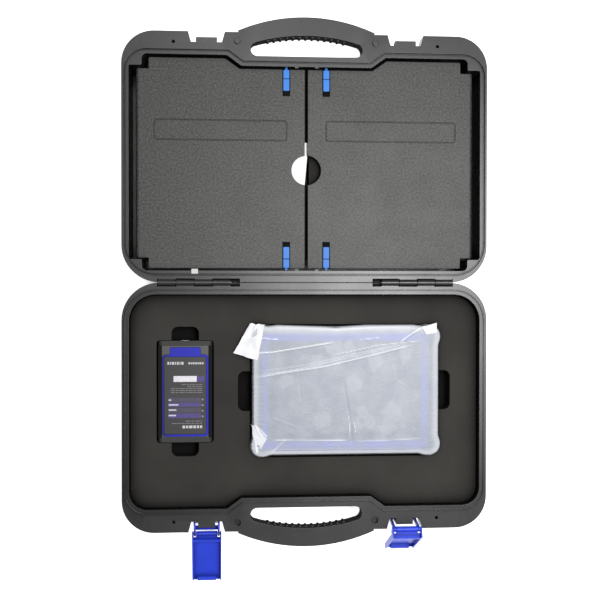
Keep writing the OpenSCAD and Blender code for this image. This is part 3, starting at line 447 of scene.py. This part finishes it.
FILM_DARK = (0.325, 0.352, 0.41)
FILM_LIGHT = (0.375, 0.4, 0.455)
FILM_PATCH = (0.5, 0.52, 0.57)
FILM_BLUE = (0.35, 0.375, 0.6)
FILM_WHITE = (0.9, 0.91, 0.93)
FILM_FOLD_SHADE = (0.3, 0.33, 0.39)
FILM_HAZE = (0.35, 0.65)
FILM_CLOUD = (0.53, 0.6)
CLOUD_SHARE = 0.18
PATCH_SHARE = 0.38
FOLD_SHADE_SHARE = 0.8
FILM_PLAIN = 0.5
FILM_ALPHA = (0.88, 0.98)

# The film's mesh carries three masks: whiteness, which is painted highlight above its middle and painted
# shade below it, clinging and the blue of the bezel
film_paint = Paint("film", FILM_LIGHT, rough=0.32, specular=0.25)
film_mask = film_paint.node("ShaderNodeVertexColor", layer_name="film")
film_split = film_paint.node("ShaderNodeSeparateColor")
film_paint.link(film_mask.outputs["Color"], film_split.inputs["Color"])
film_highlight_and_shade, film_cling, film_blue = (film_split.outputs[key] for key in ("Red", "Green", "Blue"))
haze = film_paint.span(film_paint.noise(scale=55, detail=6.0), *FILM_HAZE, 0, 1)
film_paint.set_colour(film_paint.blend(haze, FILM_DARK, FILM_LIGHT))
cloud = film_paint.span(film_paint.noise(scale=36, detail=3.0), *FILM_CLOUD, 0, CLOUD_SHARE)
film_paint.coat(cloud, FILM_PATCH)
film_paint.coat(film_blue, FILM_BLUE)
film_paint.coat(film_paint.span(film_cling, 0, 1, 0, PATCH_SHARE), FILM_PATCH)
# Painted highlight where the whiteness is above its middle, and painted shade in the folds where it is
# below
film_paint.coat(film_paint.span(film_highlight_and_shade, FILM_PLAIN, 1, 0, 1), FILM_WHITE)
film_paint.coat(film_paint.span(film_highlight_and_shade, FILM_PLAIN, 0, 0, FOLD_SHADE_SHARE), FILM_FOLD_SHADE)
film_paint.feed("Alpha", film_paint.span(film_highlight_and_shade, FILM_PLAIN, 1, *FILM_ALPHA))
film_ripple = film_paint.noise(scale=260, detail=4.0, stretch=(1, 2.2, 1))
film_paint.bump(film_ripple, strength=0.35, distance=0.6 * MM)


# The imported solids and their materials

PAINTS = (
    case_paint, door_paint, foam_paint, module_paint, trim_paint, bolt_paint, latch_paint,
    Paint("paper", (0.9, 0.9, 0.89), rough=0.8).tint(scale=30, amount=0.03),
    Paint("sticker", (0.56, 0.56, 0.55), rough=0.7).tint(scale=200, amount=0.05),
    Paint("steel", (0.22, 0.22, 0.23), rough=0.42, metallic=1.0).tint(scale=60, amount=0.1),
    Paint("port_metal", (0.55, 0.55, 0.56), rough=0.3, metallic=1.0).tint(scale=60, amount=0.08),
    Paint("chassis_metal", (0.5, 0.5, 0.51), rough=0.35, metallic=1.0).tint(scale=20, amount=0.08),
    Paint("light_pipe", (0.17, 0.16, 0.21), rough=0.4).tint(scale=200, amount=0.1),
    Paint("screen", (0.015, 0.016, 0.02), rough=0.08).tint(scale=6, amount=0.1),
    Paint("display", (0.02, 0.02, 0.024), rough=0.3).tint(scale=10, amount=0.1),
    plastic("label_film", (0.034, 0.033, 0.033), rough=0.42, grain=0.03, specular=0.25),
    plastic("cap_rubber", (0.022, 0.022, 0.023), rough=0.7),
    plastic("circuit_board", (0.02, 0.14, 0.06), rough=0.4),
    plastic("tablet_plastic", (0.022, 0.022, 0.023), rough=0.5),
    plastic("bumper_rubber", (0.02, 0.02, 0.021), rough=0.62),
    plastic("bezel_plastic", (0.03, 0.06, 0.6), rough=0.36, grain=0.1),
    plastic("battery", (0.1, 0.1, 0.11), rough=0.4),
)

material_of = {paint.name: paint.material for paint in PAINTS}
slot_of = {row["node"]: row["material_slot"] for row in frame["record"]["subparts"]}
slot_of["rim_sticker"] = "sticker"
for name, solid in NODES.items():
    if slot_of[name] in material_of:
        solid.data.materials.clear()
        solid.data.materials.append(material_of[slot_of[name]])


# New pieces

def add_piece(name, shape, paint, body, is_smooth=True):
    """Turns a shape into a piece that rides on a body."""
    mesh = bpy.data.meshes.new(name)
    shape.to_mesh(mesh)
    shape.free()
    mesh.materials.append(paint.material)
    for face in mesh.polygons:
        face.use_smooth = is_smooth
    piece = add_object(name, mesh)
    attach(piece, body)
    return piece


def fill_grid(shape, grid):
    """Faces between the rows of a grid of points."""
    for above, below in zip(grid, grid[1:]):
        for i in range(len(above) - 1):
            shape.faces.new((above[i], below[i], below[i + 1], above[i + 1]))


def join_rings(shape, upper, lower, left_open=()):
    """Faces between two rings of points, apart from the places that are left open."""
    for i in range(len(upper)):
        after = (i + 1) % len(upper)
        if i not in left_open:
            shape.faces.new((upper[i], upper[after], lower[after], lower[i]))


# Small stops on the lid's inner walls, beside the bolts, in millimetres from the hinge

STOP_X = 12.5
STOP_ROOT = 3
STOP_TIP = 1.8
STOP_Z = (60, 67.4)
STOP_FRONT = (267.8, 265.8)
STOP_BACK = (14.5, 16.6)


def rim_stop(name, x, root, tip):
    """A stop that stands out from the wall at root and narrows toward tip."""
    shape = bmesh.new()
    outline = ((x - STOP_ROOT, root), (x + STOP_ROOT, root), (x + STOP_TIP, tip), (x - STOP_TIP, tip))
    low, high = [[shape.verts.new((px * MM, lid_y(v), z * MM)) for px, v in outline] for z in STOP_Z]
    shape.faces.new(low)
    shape.faces.new(high)
    join_rings(shape, low, high)
    bmesh.ops.recalc_face_normals(shape, faces=shape.faces)
    add_piece(name, shape, case_paint, "lid", is_smooth=False)


for side, x in (("left", -STOP_X), ("right", STOP_X)):
    rim_stop("stop_front_" + side, x, *STOP_FRONT)
    rim_stop("stop_back_" + side, x, *STOP_BACK)


# Foam: die-cut blocks with soft edges and an uneven top

FOAM_CELL = 12 * MM
FOAM_DIP = 0.7 * MM
FOAM_WAVE = 14
FOAM_TOP = 0.1 * MM
FOAM_EDGE = 1.5 * MM
FOAM_EDGE_STEPS = 3
FOAM_SHARP = math.radians(40)
FOAM_FLAT = math.radians(1)
FOAM_WELD = 2e-5
FOAM_CUT = 1e-6


def cut_across(shape, axis, place):
    """Cuts all faces where a plane square to one axis passes."""
    point = [0, 0, 0]
    point[axis] = place
    normal = [0, 0, 0]
    normal[axis] = 1
    everything = shape.verts[:] + shape.edges[:] + shape.faces[:]
    bmesh.ops.bisect_plane(shape, geom=everything, dist=FOAM_CUT, plane_co=point, plane_no=normal)


def foam_piece(node, body):
    shape = bmesh.new()
    shape.from_mesh(NODES[node].data)
    bmesh.ops.remove_doubles(shape, verts=shape.verts, dist=FOAM_WELD)
    bmesh.ops.dissolve_limit(shape, angle_limit=FOAM_FLAT, verts=shape.verts, edges=shape.edges)
    low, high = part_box(node)
    for axis in (0, 1):
        for i in range(1, int((high[axis] - low[axis]) / FOAM_CELL)):
            cut_across(shape, axis, low[axis] + i * FOAM_CELL)
    for vert in shape.verts:
        if vert.co.z > high.z - FOAM_TOP:
            vert.co.z -= FOAM_DIP * (0.5 + 0.5 * noise.noise(vert.co * FOAM_WAVE))
    piece = add_piece(node + "_foam", shape, foam_paint, body)
    edge = piece.modifiers.new("edge", "BEVEL")
    edge.width = FOAM_EDGE
    edge.segments = FOAM_EDGE_STEPS
    edge.limit_method = "ANGLE"
    edge.angle_limit = FOAM_SHARP
    edge.use_clamp_overlap = True
    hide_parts(node)


foam_piece("foam_insert", "base")
foam_piece("lid_pad_left", "lid")
foam_piece("lid_pad_right", "lid")


# Printing on the module's label: plain marks in place of words, in millimetres from the hinge

PRINT_T = 0.08
PRINT_ROUGH = 0.5
PRINT_SPECULAR = 0.3
LABEL_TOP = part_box("module_label")[1].z * 1000

# Rows of marks as (x of both ends, v of both edges, lengths of the marks, gap between them)
TITLE_LEFT = (-172.5, -152, 98.8, 102.2, (2.2, 1.1, 3.0, 1.4), 1.0)
TITLE_RIGHT = (-146.6, -127.7, 99.4, 101.8, (2.0, 1.6, 2.4), 0.8)
TITLE_FRONT = (-154, -129.6, 178.2, 181.6, (3.4, 2.6, 4.2), 1.1)
NOTE_LONG = (-167, -129.6, 175.0, 176.0, (6.0, 3.8, 4.6), 0.9)
NOTE_SHORT = (-150, -129.6, 172.2, 173.2, (6.0, 4.0), 0.9)

# Lines of small print as (x of the start, v of the back edge)
LINES = ((-155, 126.5), (-148, 129.0), (-168, 131.5), (-168.5, 134.0), (-168.5, 136.5))
LINE_END = -129.3
LINE_WIDTH = 1.0
LINE_MARKS = (5.2, 3.4, 7.0, 2.6)
LINE_GAP = 0.9

# Single marks as x and v of two opposite corners
BAR_NAMES = [(-171, 145.4, -168, 147.2), (-171, 151.4, -159, 153.2),
             (-171, 157.9, -161.5, 159.6), (-171, 164.6, -162, 166.4)]
WINDOW = [(-165, 116.4, -136.3, 123.7)]
BARS = [(-171.7, 149.6, -131, 154.8), (-171.7, 163, -131, 168.8), (-135.5, 116.4, -126.9, 123.7)]
SHADES = [(-171.7, 143.4, -131, 149), (-171.7, 156, -131, 161.9)]


def print_marks(name, marks, colour, layers=1):
    """Thin raised rectangles on the label."""
    paint = Paint(name, colour, PRINT_ROUGH, specular=PRINT_SPECULAR).tint(scale=300, amount=0.12)
    shape = bmesh.new()
    for x0, v0, x1, v1 in marks:
        made = bmesh.ops.create_cube(shape, size=1)["verts"]
        for vert in made:
            vert.co.x = (x0 + x1 + vert.co.x * 2 * (x1 - x0)) / 2 * MM
            vert.co.y = base_y((v0 + v1) / 2) + vert.co.y * (v1 - v0) * MM
            vert.co.z = (LABEL_TOP + (vert.co.z + 0.5) * layers * PRINT_T) * MM
    add_piece(name, shape, paint, "scanner_module", is_smooth=False)


def dashes(x0, x1, v0, v1, lengths, gap):
    """A row of marks from x0 to x1, whose lengths repeat."""
    row = []
    while x0 < x1:
        end = min(x0 + lengths[len(row) % len(lengths)], x1)
        row.append((x0, v0, end, v1))
        x0 = end + gap
    return row


white_marks = dashes(*TITLE_LEFT) + dashes(*TITLE_RIGHT) + BAR_NAMES + dashes(*TITLE_FRONT)
grey_marks = []
for start, v in LINES:
    grey_marks += dashes(start, LINE_END, v, v + LINE_WIDTH, LINE_MARKS, LINE_GAP)
grey_marks += dashes(*NOTE_LONG) + dashes(*NOTE_SHORT)
print_marks("label_marks", white_marks, (0.5, 0.49, 0.52), layers=2)
print_marks("label_lines", grey_marks, (0.16, 0.15, 0.165))
print_marks("label_window", WINDOW, (0.64, 0.62, 0.67))
print_marks("label_bars", BARS, (0.062, 0.046, 0.185))
print_marks("label_shades", SHADES, (0.056, 0.048, 0.078))


# The film bag over the tablet, in millimetres from the hinge

BAG_LOW, BAG_HIGH = box_mm("tablet_bumper")
BAG_OUT = 0.6
BAG_X = (BAG_LOW.x + BAG_HIGH.x) / 2
BAG_V = HINGE_MM - (BAG_LOW.y + BAG_HIGH.y) / 2
BAG_HALF_X = (BAG_HIGH.x - BAG_LOW.x) / 2 + BAG_OUT
BAG_HALF_V = (BAG_HIGH.y - BAG_LOW.y) / 2 + BAG_OUT
BAG_CORNER = 15.0
BAG_WAIST = 2.5
BAG_WAIST_ENDS = (16, 28)
BAG_ROLL = 4.0
BAG_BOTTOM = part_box("tablet_cover")[0].z * 1000 - 0.35
BAG_CELLS_X = 200
BAG_CELLS_V = 140

BEZEL_LOW, BEZEL_HIGH = box_mm("tablet_bezel")
BEZEL_TOP = BEZEL_HIGH.z
GLASS_LOW, GLASS_HIGH = box_mm("screen_glass")
BEZEL_FADE = (1, 4)
GLASS_FADE = (1, 4.5)
BUMPER_DROP = 0.3
OVER_BUMPER = BEZEL_TOP - BUMPER_DROP
OVER_BEZEL = BEZEL_TOP + 0.5
OVER_GLASS = BEZEL_TOP + 0.35
GLASS_SWELL = 0.35
BUMPER_SLOPE = (3, 12)
GLASS_SLOPE = (0, 20)
SWELL_SLOPE = (0, 10)

# How far the film stands out over the foam, at the back with a dip, and on the right
BACK_SLACK = 2.4
DIP_X = 38
DIP_LEFT = 73
DIP_RIGHT = 37
BACK_ENDS = (18, 34)
RIGHT_SLACK = 2.6
SLACK_REACH = 25

# Pleats of a side as (reach, v where they start, v where they are full, height, pitch, waver, seed)
LEFT_PLEATS = (22, 90, 120, 0.22, 1.25, 0.12, 3)
RIGHT_PLEATS = (16, 80, 105, 0.14, 0.95, 0.1, 5)
PLEAT_FULL = 2
PLEAT_WAVER = 5

# Rings of the bag's wall as (drop, inset), and rings of its underside as shares of its plan
WALL_RINGS = ((3, 0.0), (8, 0.4), (16, 0.7), (26, 0.4), (30, 0.0))
UNDER_RINGS = (0.97, 0.6)
UNDER_ROOM = 0.5
WALL_WHITE = 0.62
# Painted highlight along the bag's rolled edge, and its width
EDGE_HIGHLIGHT = 0.36
EDGE_WIDTH = (13, 3)

# The bag's mouth: a slit below one ring of the left wall, from one v to another
MOUTH_RING = 1
MOUTH = (95, 180)
MOUTH_REACH = 0.5

# Creases as (points of x and v, height, width, whiteness); a positive whiteness is painted highlight
# along the crease, a negative one painted shade
CREASES = [
    ([(-55, 55.5), (-10, 56), (25, 57.5), (38, 59), (60, 57), (100, 55.5), (150, 55)], 0.3, 1.6, 0.3),
    ([(-66, 88), (-43, 87), (-5, 81), (39, 74)], 0.66, 0.93, 0.9),
    ([(-66, 119), (-30, 113), (24, 105), (80, 92), (144, 76)], 0.42, 0.9, 0.72),
    ([(-66, 116), (-10, 108), (60, 93), (135, 75)], 0.2, 0.74, 0.36),
    ([(-62, 112), (0, 103), (70, 88), (120, 77)], 0.14, 0.81, 0.26),
    ([(30, 92), (90, 79), (150, 73)], 0.3, 0.62, 0.5),
    ([(149, 55), (134, 64), (119, 75)], 0.6, 0.74, 0.95),
    ([(-62, 69), (-34, 71)], 0.42, 0.68, 0.8),
    ([(66, 72), (94, 69)], 0.24, 0.62, 0.5),
    ([(47, 118), (52, 150), (56, 178), (60, 208)], -0.3, 0.99, -0.35),
    ([(53, 160), (55.5, 180), (54.5, 198)], 0.36, 0.56, 0.7),
    ([(60, 175), (63, 190)], 0.3, 0.56, 0.5),
    ([(-8, 125), (-6, 150)], -0.12, 0.81, -0.2),
    ([(-43, 197), (0, 197.6), (55, 198)], 0.24, 0.62, 0.75),
    ([(60, 200), (100, 199), (150, 197)], 0.18, 0.62, 0.35),
    ([(110, 102), (114, 122), (132, 134)], 0.12, 0.99, 0.15),
    ([(-44, 168), (-5, 183)], 0.08, 0.87, 0.12),
    ([(-45, 214), (-25, 196)], 0.3, 0.62, 0.5),
    ([(-66, 176), (-50, 192), (-58, 210)], 0.54, 0.81, 0.9),
]
CREASE_REACH = 4
CREASE_FADE = 0.12
CREASE_WHITE = 0.75
CREASE_EDGE = (0, 4)

# Patches where the film clings, as (x, v, radius)
PATCHES = [
    (20, 173, 11), (110, 166, 14), (106, 174, 12), (36, 87, 13), (54, 84, 9), (86, 96, 12), (126, 91, 9),
    (60, 128, 10), (72, 164, 8), (66, 178, 7), (82, 175, 8), (-25, 124, 9), (102, 186, 9), (14, 100, 9),
]
PATCH_EDGE = (1.1, 0.65)
PATCH_FLAT = 0.85


def near_line(points, x, v):
    """Distance from a point to a crease, and how far along it the nearest place is, from 0 to 1."""
    here = Vector((x, v))
    best = 1e9
    share = 0.0
    for i in range(len(points) - 1):
        start = Vector(points[i])
        run = Vector(points[i + 1]) - start
        t = max(0.0, min(1.0, (here - start).dot(run) / run.length_squared))
        away = (here - start.lerp(Vector(points[i + 1]), t)).length
        if away < best:
            best = away
            share = (i + t) / (len(points) - 1)
    return best, share


def crease_at(x, v):
    """Height that the creases add at a point, and their whiteness: painted highlight where it is
    positive, painted shade where it is negative.
    """
    rise = 0.0
    white = 0.0
    for points, height, width, light in CREASES:
        away, share = near_line(points, x, v)
        if away < CREASE_REACH * width:
            fade = smooth(0, CREASE_FADE, share) * smooth(0, CREASE_FADE, 1 - share)
            rise += height * fade * math.exp(-(away / width) ** 2)
            white += light * fade * math.exp(-(away / (CREASE_WHITE * width)) ** 2)
    return rise, white


def patch_at(x, v):
    """How far the film clings at a point, from 0 to 1."""
    clung = 0.0
    for px, pv, radius in PATCHES:
        waver = 0.6 * wave(x * 0.06, v * 0.06, px) + 0.4 * wave(x * 0.15, v * 0.15, px)
        away = math.hypot(x - px, (v - pv) * PATCH_FLAT) / radius
        clung = max(clung, smooth(*PATCH_EDGE, away + waver))
    return clung


def within(low, high, x, v):
    """How far a point lies inside the plan of a solid's box."""
    return min(x - low.x, high.x - x, v - (HINGE_MM - high.y), HINGE_MM - low.y - v)


def back_slack(x):
    """How far the film's back edge stands out over the foam, with a dip in the middle."""
    fall = (DIP_X - x) / DIP_LEFT if x < DIP_X else (x - DIP_X) / DIP_RIGHT
    return BACK_SLACK * min(1.0, fall) * smooth(*BACK_ENDS, BAG_HALF_X - abs(x - BAG_X))


def right_slack(x):
    """How far the film's right side stands out over the foam."""
    return RIGHT_SLACK * smooth(BAG_HALF_X - SLACK_REACH, BAG_HALF_X, x - BAG_X)


def bag_plan(a, b):
    """Maps a square of -1 to 1 to the bag's rounded plan; returns x, v and the distance from its edge."""
    x = a * BAG_HALF_X
    y = b * BAG_HALF_V
    flat_x = BAG_HALF_X - BAG_CORNER
    flat_y = BAG_HALF_V - BAG_CORNER
    past_x = abs(x) - flat_x
    past_y = abs(y) - flat_y
    if past_x > 0 and past_y > 0:
        twice = 2 * BAG_CORNER * BAG_CORNER
        x = math.copysign(flat_x + past_x * math.sqrt(1 - past_y * past_y / twice), x)
        y = math.copysign(flat_y + past_y * math.sqrt(1 - past_x * past_x / twice), y)
        edge = BAG_CORNER - math.hypot(abs(x) - flat_x, abs(y) - flat_y)
    else:
        edge = min(BAG_HALF_X - abs(x), BAG_HALF_V - abs(y))
    waist_x = BAG_WAIST * smooth(*BAG_WAIST_ENDS, BAG_HALF_V - abs(y))
    waist_y = BAG_WAIST * smooth(*BAG_WAIST_ENDS, BAG_HALF_X - abs(x))
    x = BAG_X + x * (1 - waist_x / BAG_HALF_X)
    v = BAG_V + y * (1 - waist_y / BAG_HALF_V)
    v -= back_slack(x) * smooth(BAG_HALF_V - SLACK_REACH, BAG_HALF_V, -y)
    return x, v, max(0.0, edge)


def blue_at(x, v):
    """How much of the blue bezel shows through the film, from 0 to about 1."""
    outer = within(BEZEL_LOW, BEZEL_HIGH, x, v)
    inner = within(GLASS_LOW, GLASS_HIGH, x, v)
    shown = smooth(*BEZEL_FADE, outer) * smooth(*GLASS_FADE, -inner)
    return shown * (0.75 + 0.5 * wave(x * 0.05, v * 0.05, 11))


def pleat_at(inset, x, v, pleats):
    """Height of a side's pleats at a point that lies inset from the side."""
    reach, start, full, height, pitch, waver, seed = pleats
    share = smooth(reach, PLEAT_FULL, inset) * smooth(start, full, v)
    return height * share * math.sin(v * pitch + PLEAT_WAVER * wave(x * 0.06, v * waver, seed))


def bag_height(x, v, edge):
    """Height of the film over the tablet, without its creases."""
    inside = within(GLASS_LOW, GLASS_HIGH, x, v)
    z = OVER_BUMPER + (OVER_BEZEL - OVER_BUMPER) * smooth(*BUMPER_SLOPE, edge)
    z += (OVER_GLASS - OVER_BEZEL) * smooth(*GLASS_SLOPE, inside)
    z += GLASS_SWELL * smooth(*SWELL_SLOPE, inside) * (0.5 + 0.5 * wave(x * 0.05, v * 0.05, 1))
    z += pleat_at(x - (BAG_X - BAG_HALF_X), x, v, LEFT_PLEATS)
    z += pleat_at(BAG_X + BAG_HALF_X - x, x, v, RIGHT_PLEATS)
    if edge < BAG_ROLL:
        z -= BAG_ROLL * (1 - math.sqrt(max(0.0, 1 - (1 - edge / BAG_ROLL) ** 2)))
    return z


def bag_ripple(x, y):
    """How much of its inset a place of the bag's wall takes, from 0 to 1."""
    return 0.5 + 0.5 * wave(x * 0.09, y * 0.09, 7)


def at_bag(x, v, z):
    return Vector((x * MM, base_y(v), z * MM))


def at_mouth(vert):
    """Whether a point of the rim lies above the bag's mouth."""
    is_left = vert.co.x * 1000 < BAG_X - BAG_HALF_X + BAG_WAIST + MOUTH_REACH
    return is_left and MOUTH[0] < HINGE_MM - vert.co.y * 1000 < MOUTH[1]


def bag_top(shape, layer):
    """The grid of the film's top, and how far each of its points stands out to the right."""
    grid = []
    loose = {}
    for j in range(BAG_CELLS_V + 1):
        row = []
        for i in range(BAG_CELLS_X + 1):
            x, v, edge = bag_plan(2 * i / BAG_CELLS_X - 1, 2 * j / BAG_CELLS_V - 1)
            slack = right_slack(x)
            x += slack
            rise, white = crease_at(x, v)
            # Painted highlight along the bag's rolled edge
            white += EDGE_HIGHLIGHT * smooth(*EDGE_WIDTH, edge)
            white = max(0.0, min(1.0, FILM_PLAIN + 0.5 * white))
            z = max(bag_height(x, v, edge) + rise * smooth(*CREASE_EDGE, edge), BAG_BOTTOM)
            vert = shape.verts.new(at_bag(x, v, z))
            vert[layer] = (white, patch_at(x, v), blue_at(x, v), 1)
            loose[vert] = slack * MM
            row.append(vert)
        grid.append(row)
    fill_grid(shape, grid)
    return grid, loose


def rim_of(grid):
    """The points round a grid, in order, from its first corner."""
    right = [row[-1] for row in grid[:-1]]
    left = [row[0] for row in grid[1:]]
    return grid[0][:-1] + right + grid[-1][:0:-1] + left[::-1]


def make_bag():
    """The film bag: its top, a wall that goes down into the foam, and its underside."""
    shape = bmesh.new()
    layer = shape.verts.layers.float_color.new("film")
    grid, loose = bag_top(shape, layer)
    rim = rim_of(grid)
    back = set(grid[0])
    middle = at_bag(BAG_X, BAG_V, 0)
    mouth = {i for i, vert in enumerate(rim) if at_mouth(vert)}
    wall_top = BEZEL_TOP - BAG_ROLL - BUMPER_DROP
    ring = rim
    for count, (drop, inset) in enumerate(WALL_RINGS):
        z = max((wall_top - drop) * MM, (BAG_BOTTOM + UNDER_ROOM) * MM)
        lower = []
        for vert in rim:
            out = Vector((vert.co.x - middle.x, vert.co.y - middle.y, 0)).normalized()
            shift = out * (inset * bag_ripple(vert.co.x * 1000, vert.co.y * 1000) * MM)
            shift.x += loose[vert]
            if vert in back:
                shift.y += back_slack(vert.co.x * 1000) * MM
            made = shape.verts.new((vert.co.x - shift.x, vert.co.y - shift.y, z))
            made[layer] = (WALL_WHITE, 0, 0, 1)
            lower.append(made)
        join_rings(shape, ring, lower, mouth if count == MOUTH_RING else ())
        ring = lower
    for share in UNDER_RINGS:
        lower = []
        for vert in rim:
            flat = middle.lerp(Vector((vert.co.x, vert.co.y, 0)), share)
            made = shape.verts.new((flat.x, flat.y, BAG_BOTTOM * MM))
            made[layer] = (FILM_PLAIN, 0, 0, 1)
            lower.append(made)
        join_rings(shape, ring, lower)
        ring = lower
    shape.faces.new(ring)
    bmesh.ops.recalc_face_normals(shape, faces=shape.faces)
    return add_piece("film_bag_skin", shape, film_paint, "tablet")


# Loose ends of the film, in millimetres from the hinge

SCRAP_WANDER = 1.2


def film_scrap(name, corners, heights, folds, cells, white, seed):
    """A loose end of the film: a patch between four corners of x and v, with folds across it."""
    shape = bmesh.new()
    layer = shape.verts.layers.float_color.new("film")
    corners = [Vector(corner) for corner in corners]
    grid = []
    for j in range(cells + 1):
        row = []
        for i in range(cells + 1):
            a = i / cells
            b = j / cells
            crumple = wave(a * 3, b * 3, seed)
            wander = Vector((wave(a * 2, b * 4, seed + 5), wave(a * 4, b * 2, seed + 9)))
            above = corners[0].lerp(corners[1], a)
            below = corners[3].lerp(corners[2], a)
            place = above.lerp(below, b) + wander * SCRAP_WANDER
            above_z = heights[0] * (1 - a) + heights[1] * a
            below_z = heights[3] * (1 - a) + heights[2] * a
            z = above_z * (1 - b) + below_z * b
            z += folds * (0.6 * abs(crumple) + 0.4 * abs(math.sin(5 * a + 2.2 * b + seed)))
            vert = shape.verts.new(at_bag(place.x, place.y, z))
            vert[layer] = (FILM_PLAIN + 0.5 * white * (0.75 + 0.25 * crumple), 0, 0, 1)
            row.append(vert)
        grid.append(row)
    fill_grid(shape, grid)
    return add_piece(name, shape, film_paint, "tablet")


TAIL_PLAN = [(-70, 51), (-52, 52.5), (-61, 97), (-91, 88)]
TAIL_Z = [58, 61.5, 62, 57.5]
FLAP_PLAN = [(147, 56), (166, 50.5), (166, 63), (152, 65)]
FLAP_Z = [62, 60, 60.5, 62.3]
FOLD_PLAN = [(-69, 176), (-64, 180), (-49, 195), (-62, 215)]
FOLD_Z = [61.2, 62, 62.4, 60.6]

bag = make_bag()
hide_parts("film_bag")
scraps = [
    film_scrap("film_tail", TAIL_PLAN, TAIL_Z, folds=2.0, cells=14, white=1.1, seed=0),
    # The flap's whiteness is painted highlight
    film_scrap("film_flap", FLAP_PLAN, FLAP_Z, folds=1.2, cells=8, white=1.1, seed=3),
    film_scrap("film_fold", FOLD_PLAN, FOLD_Z, folds=0.8, cells=10, white=0.9, seed=6),
]
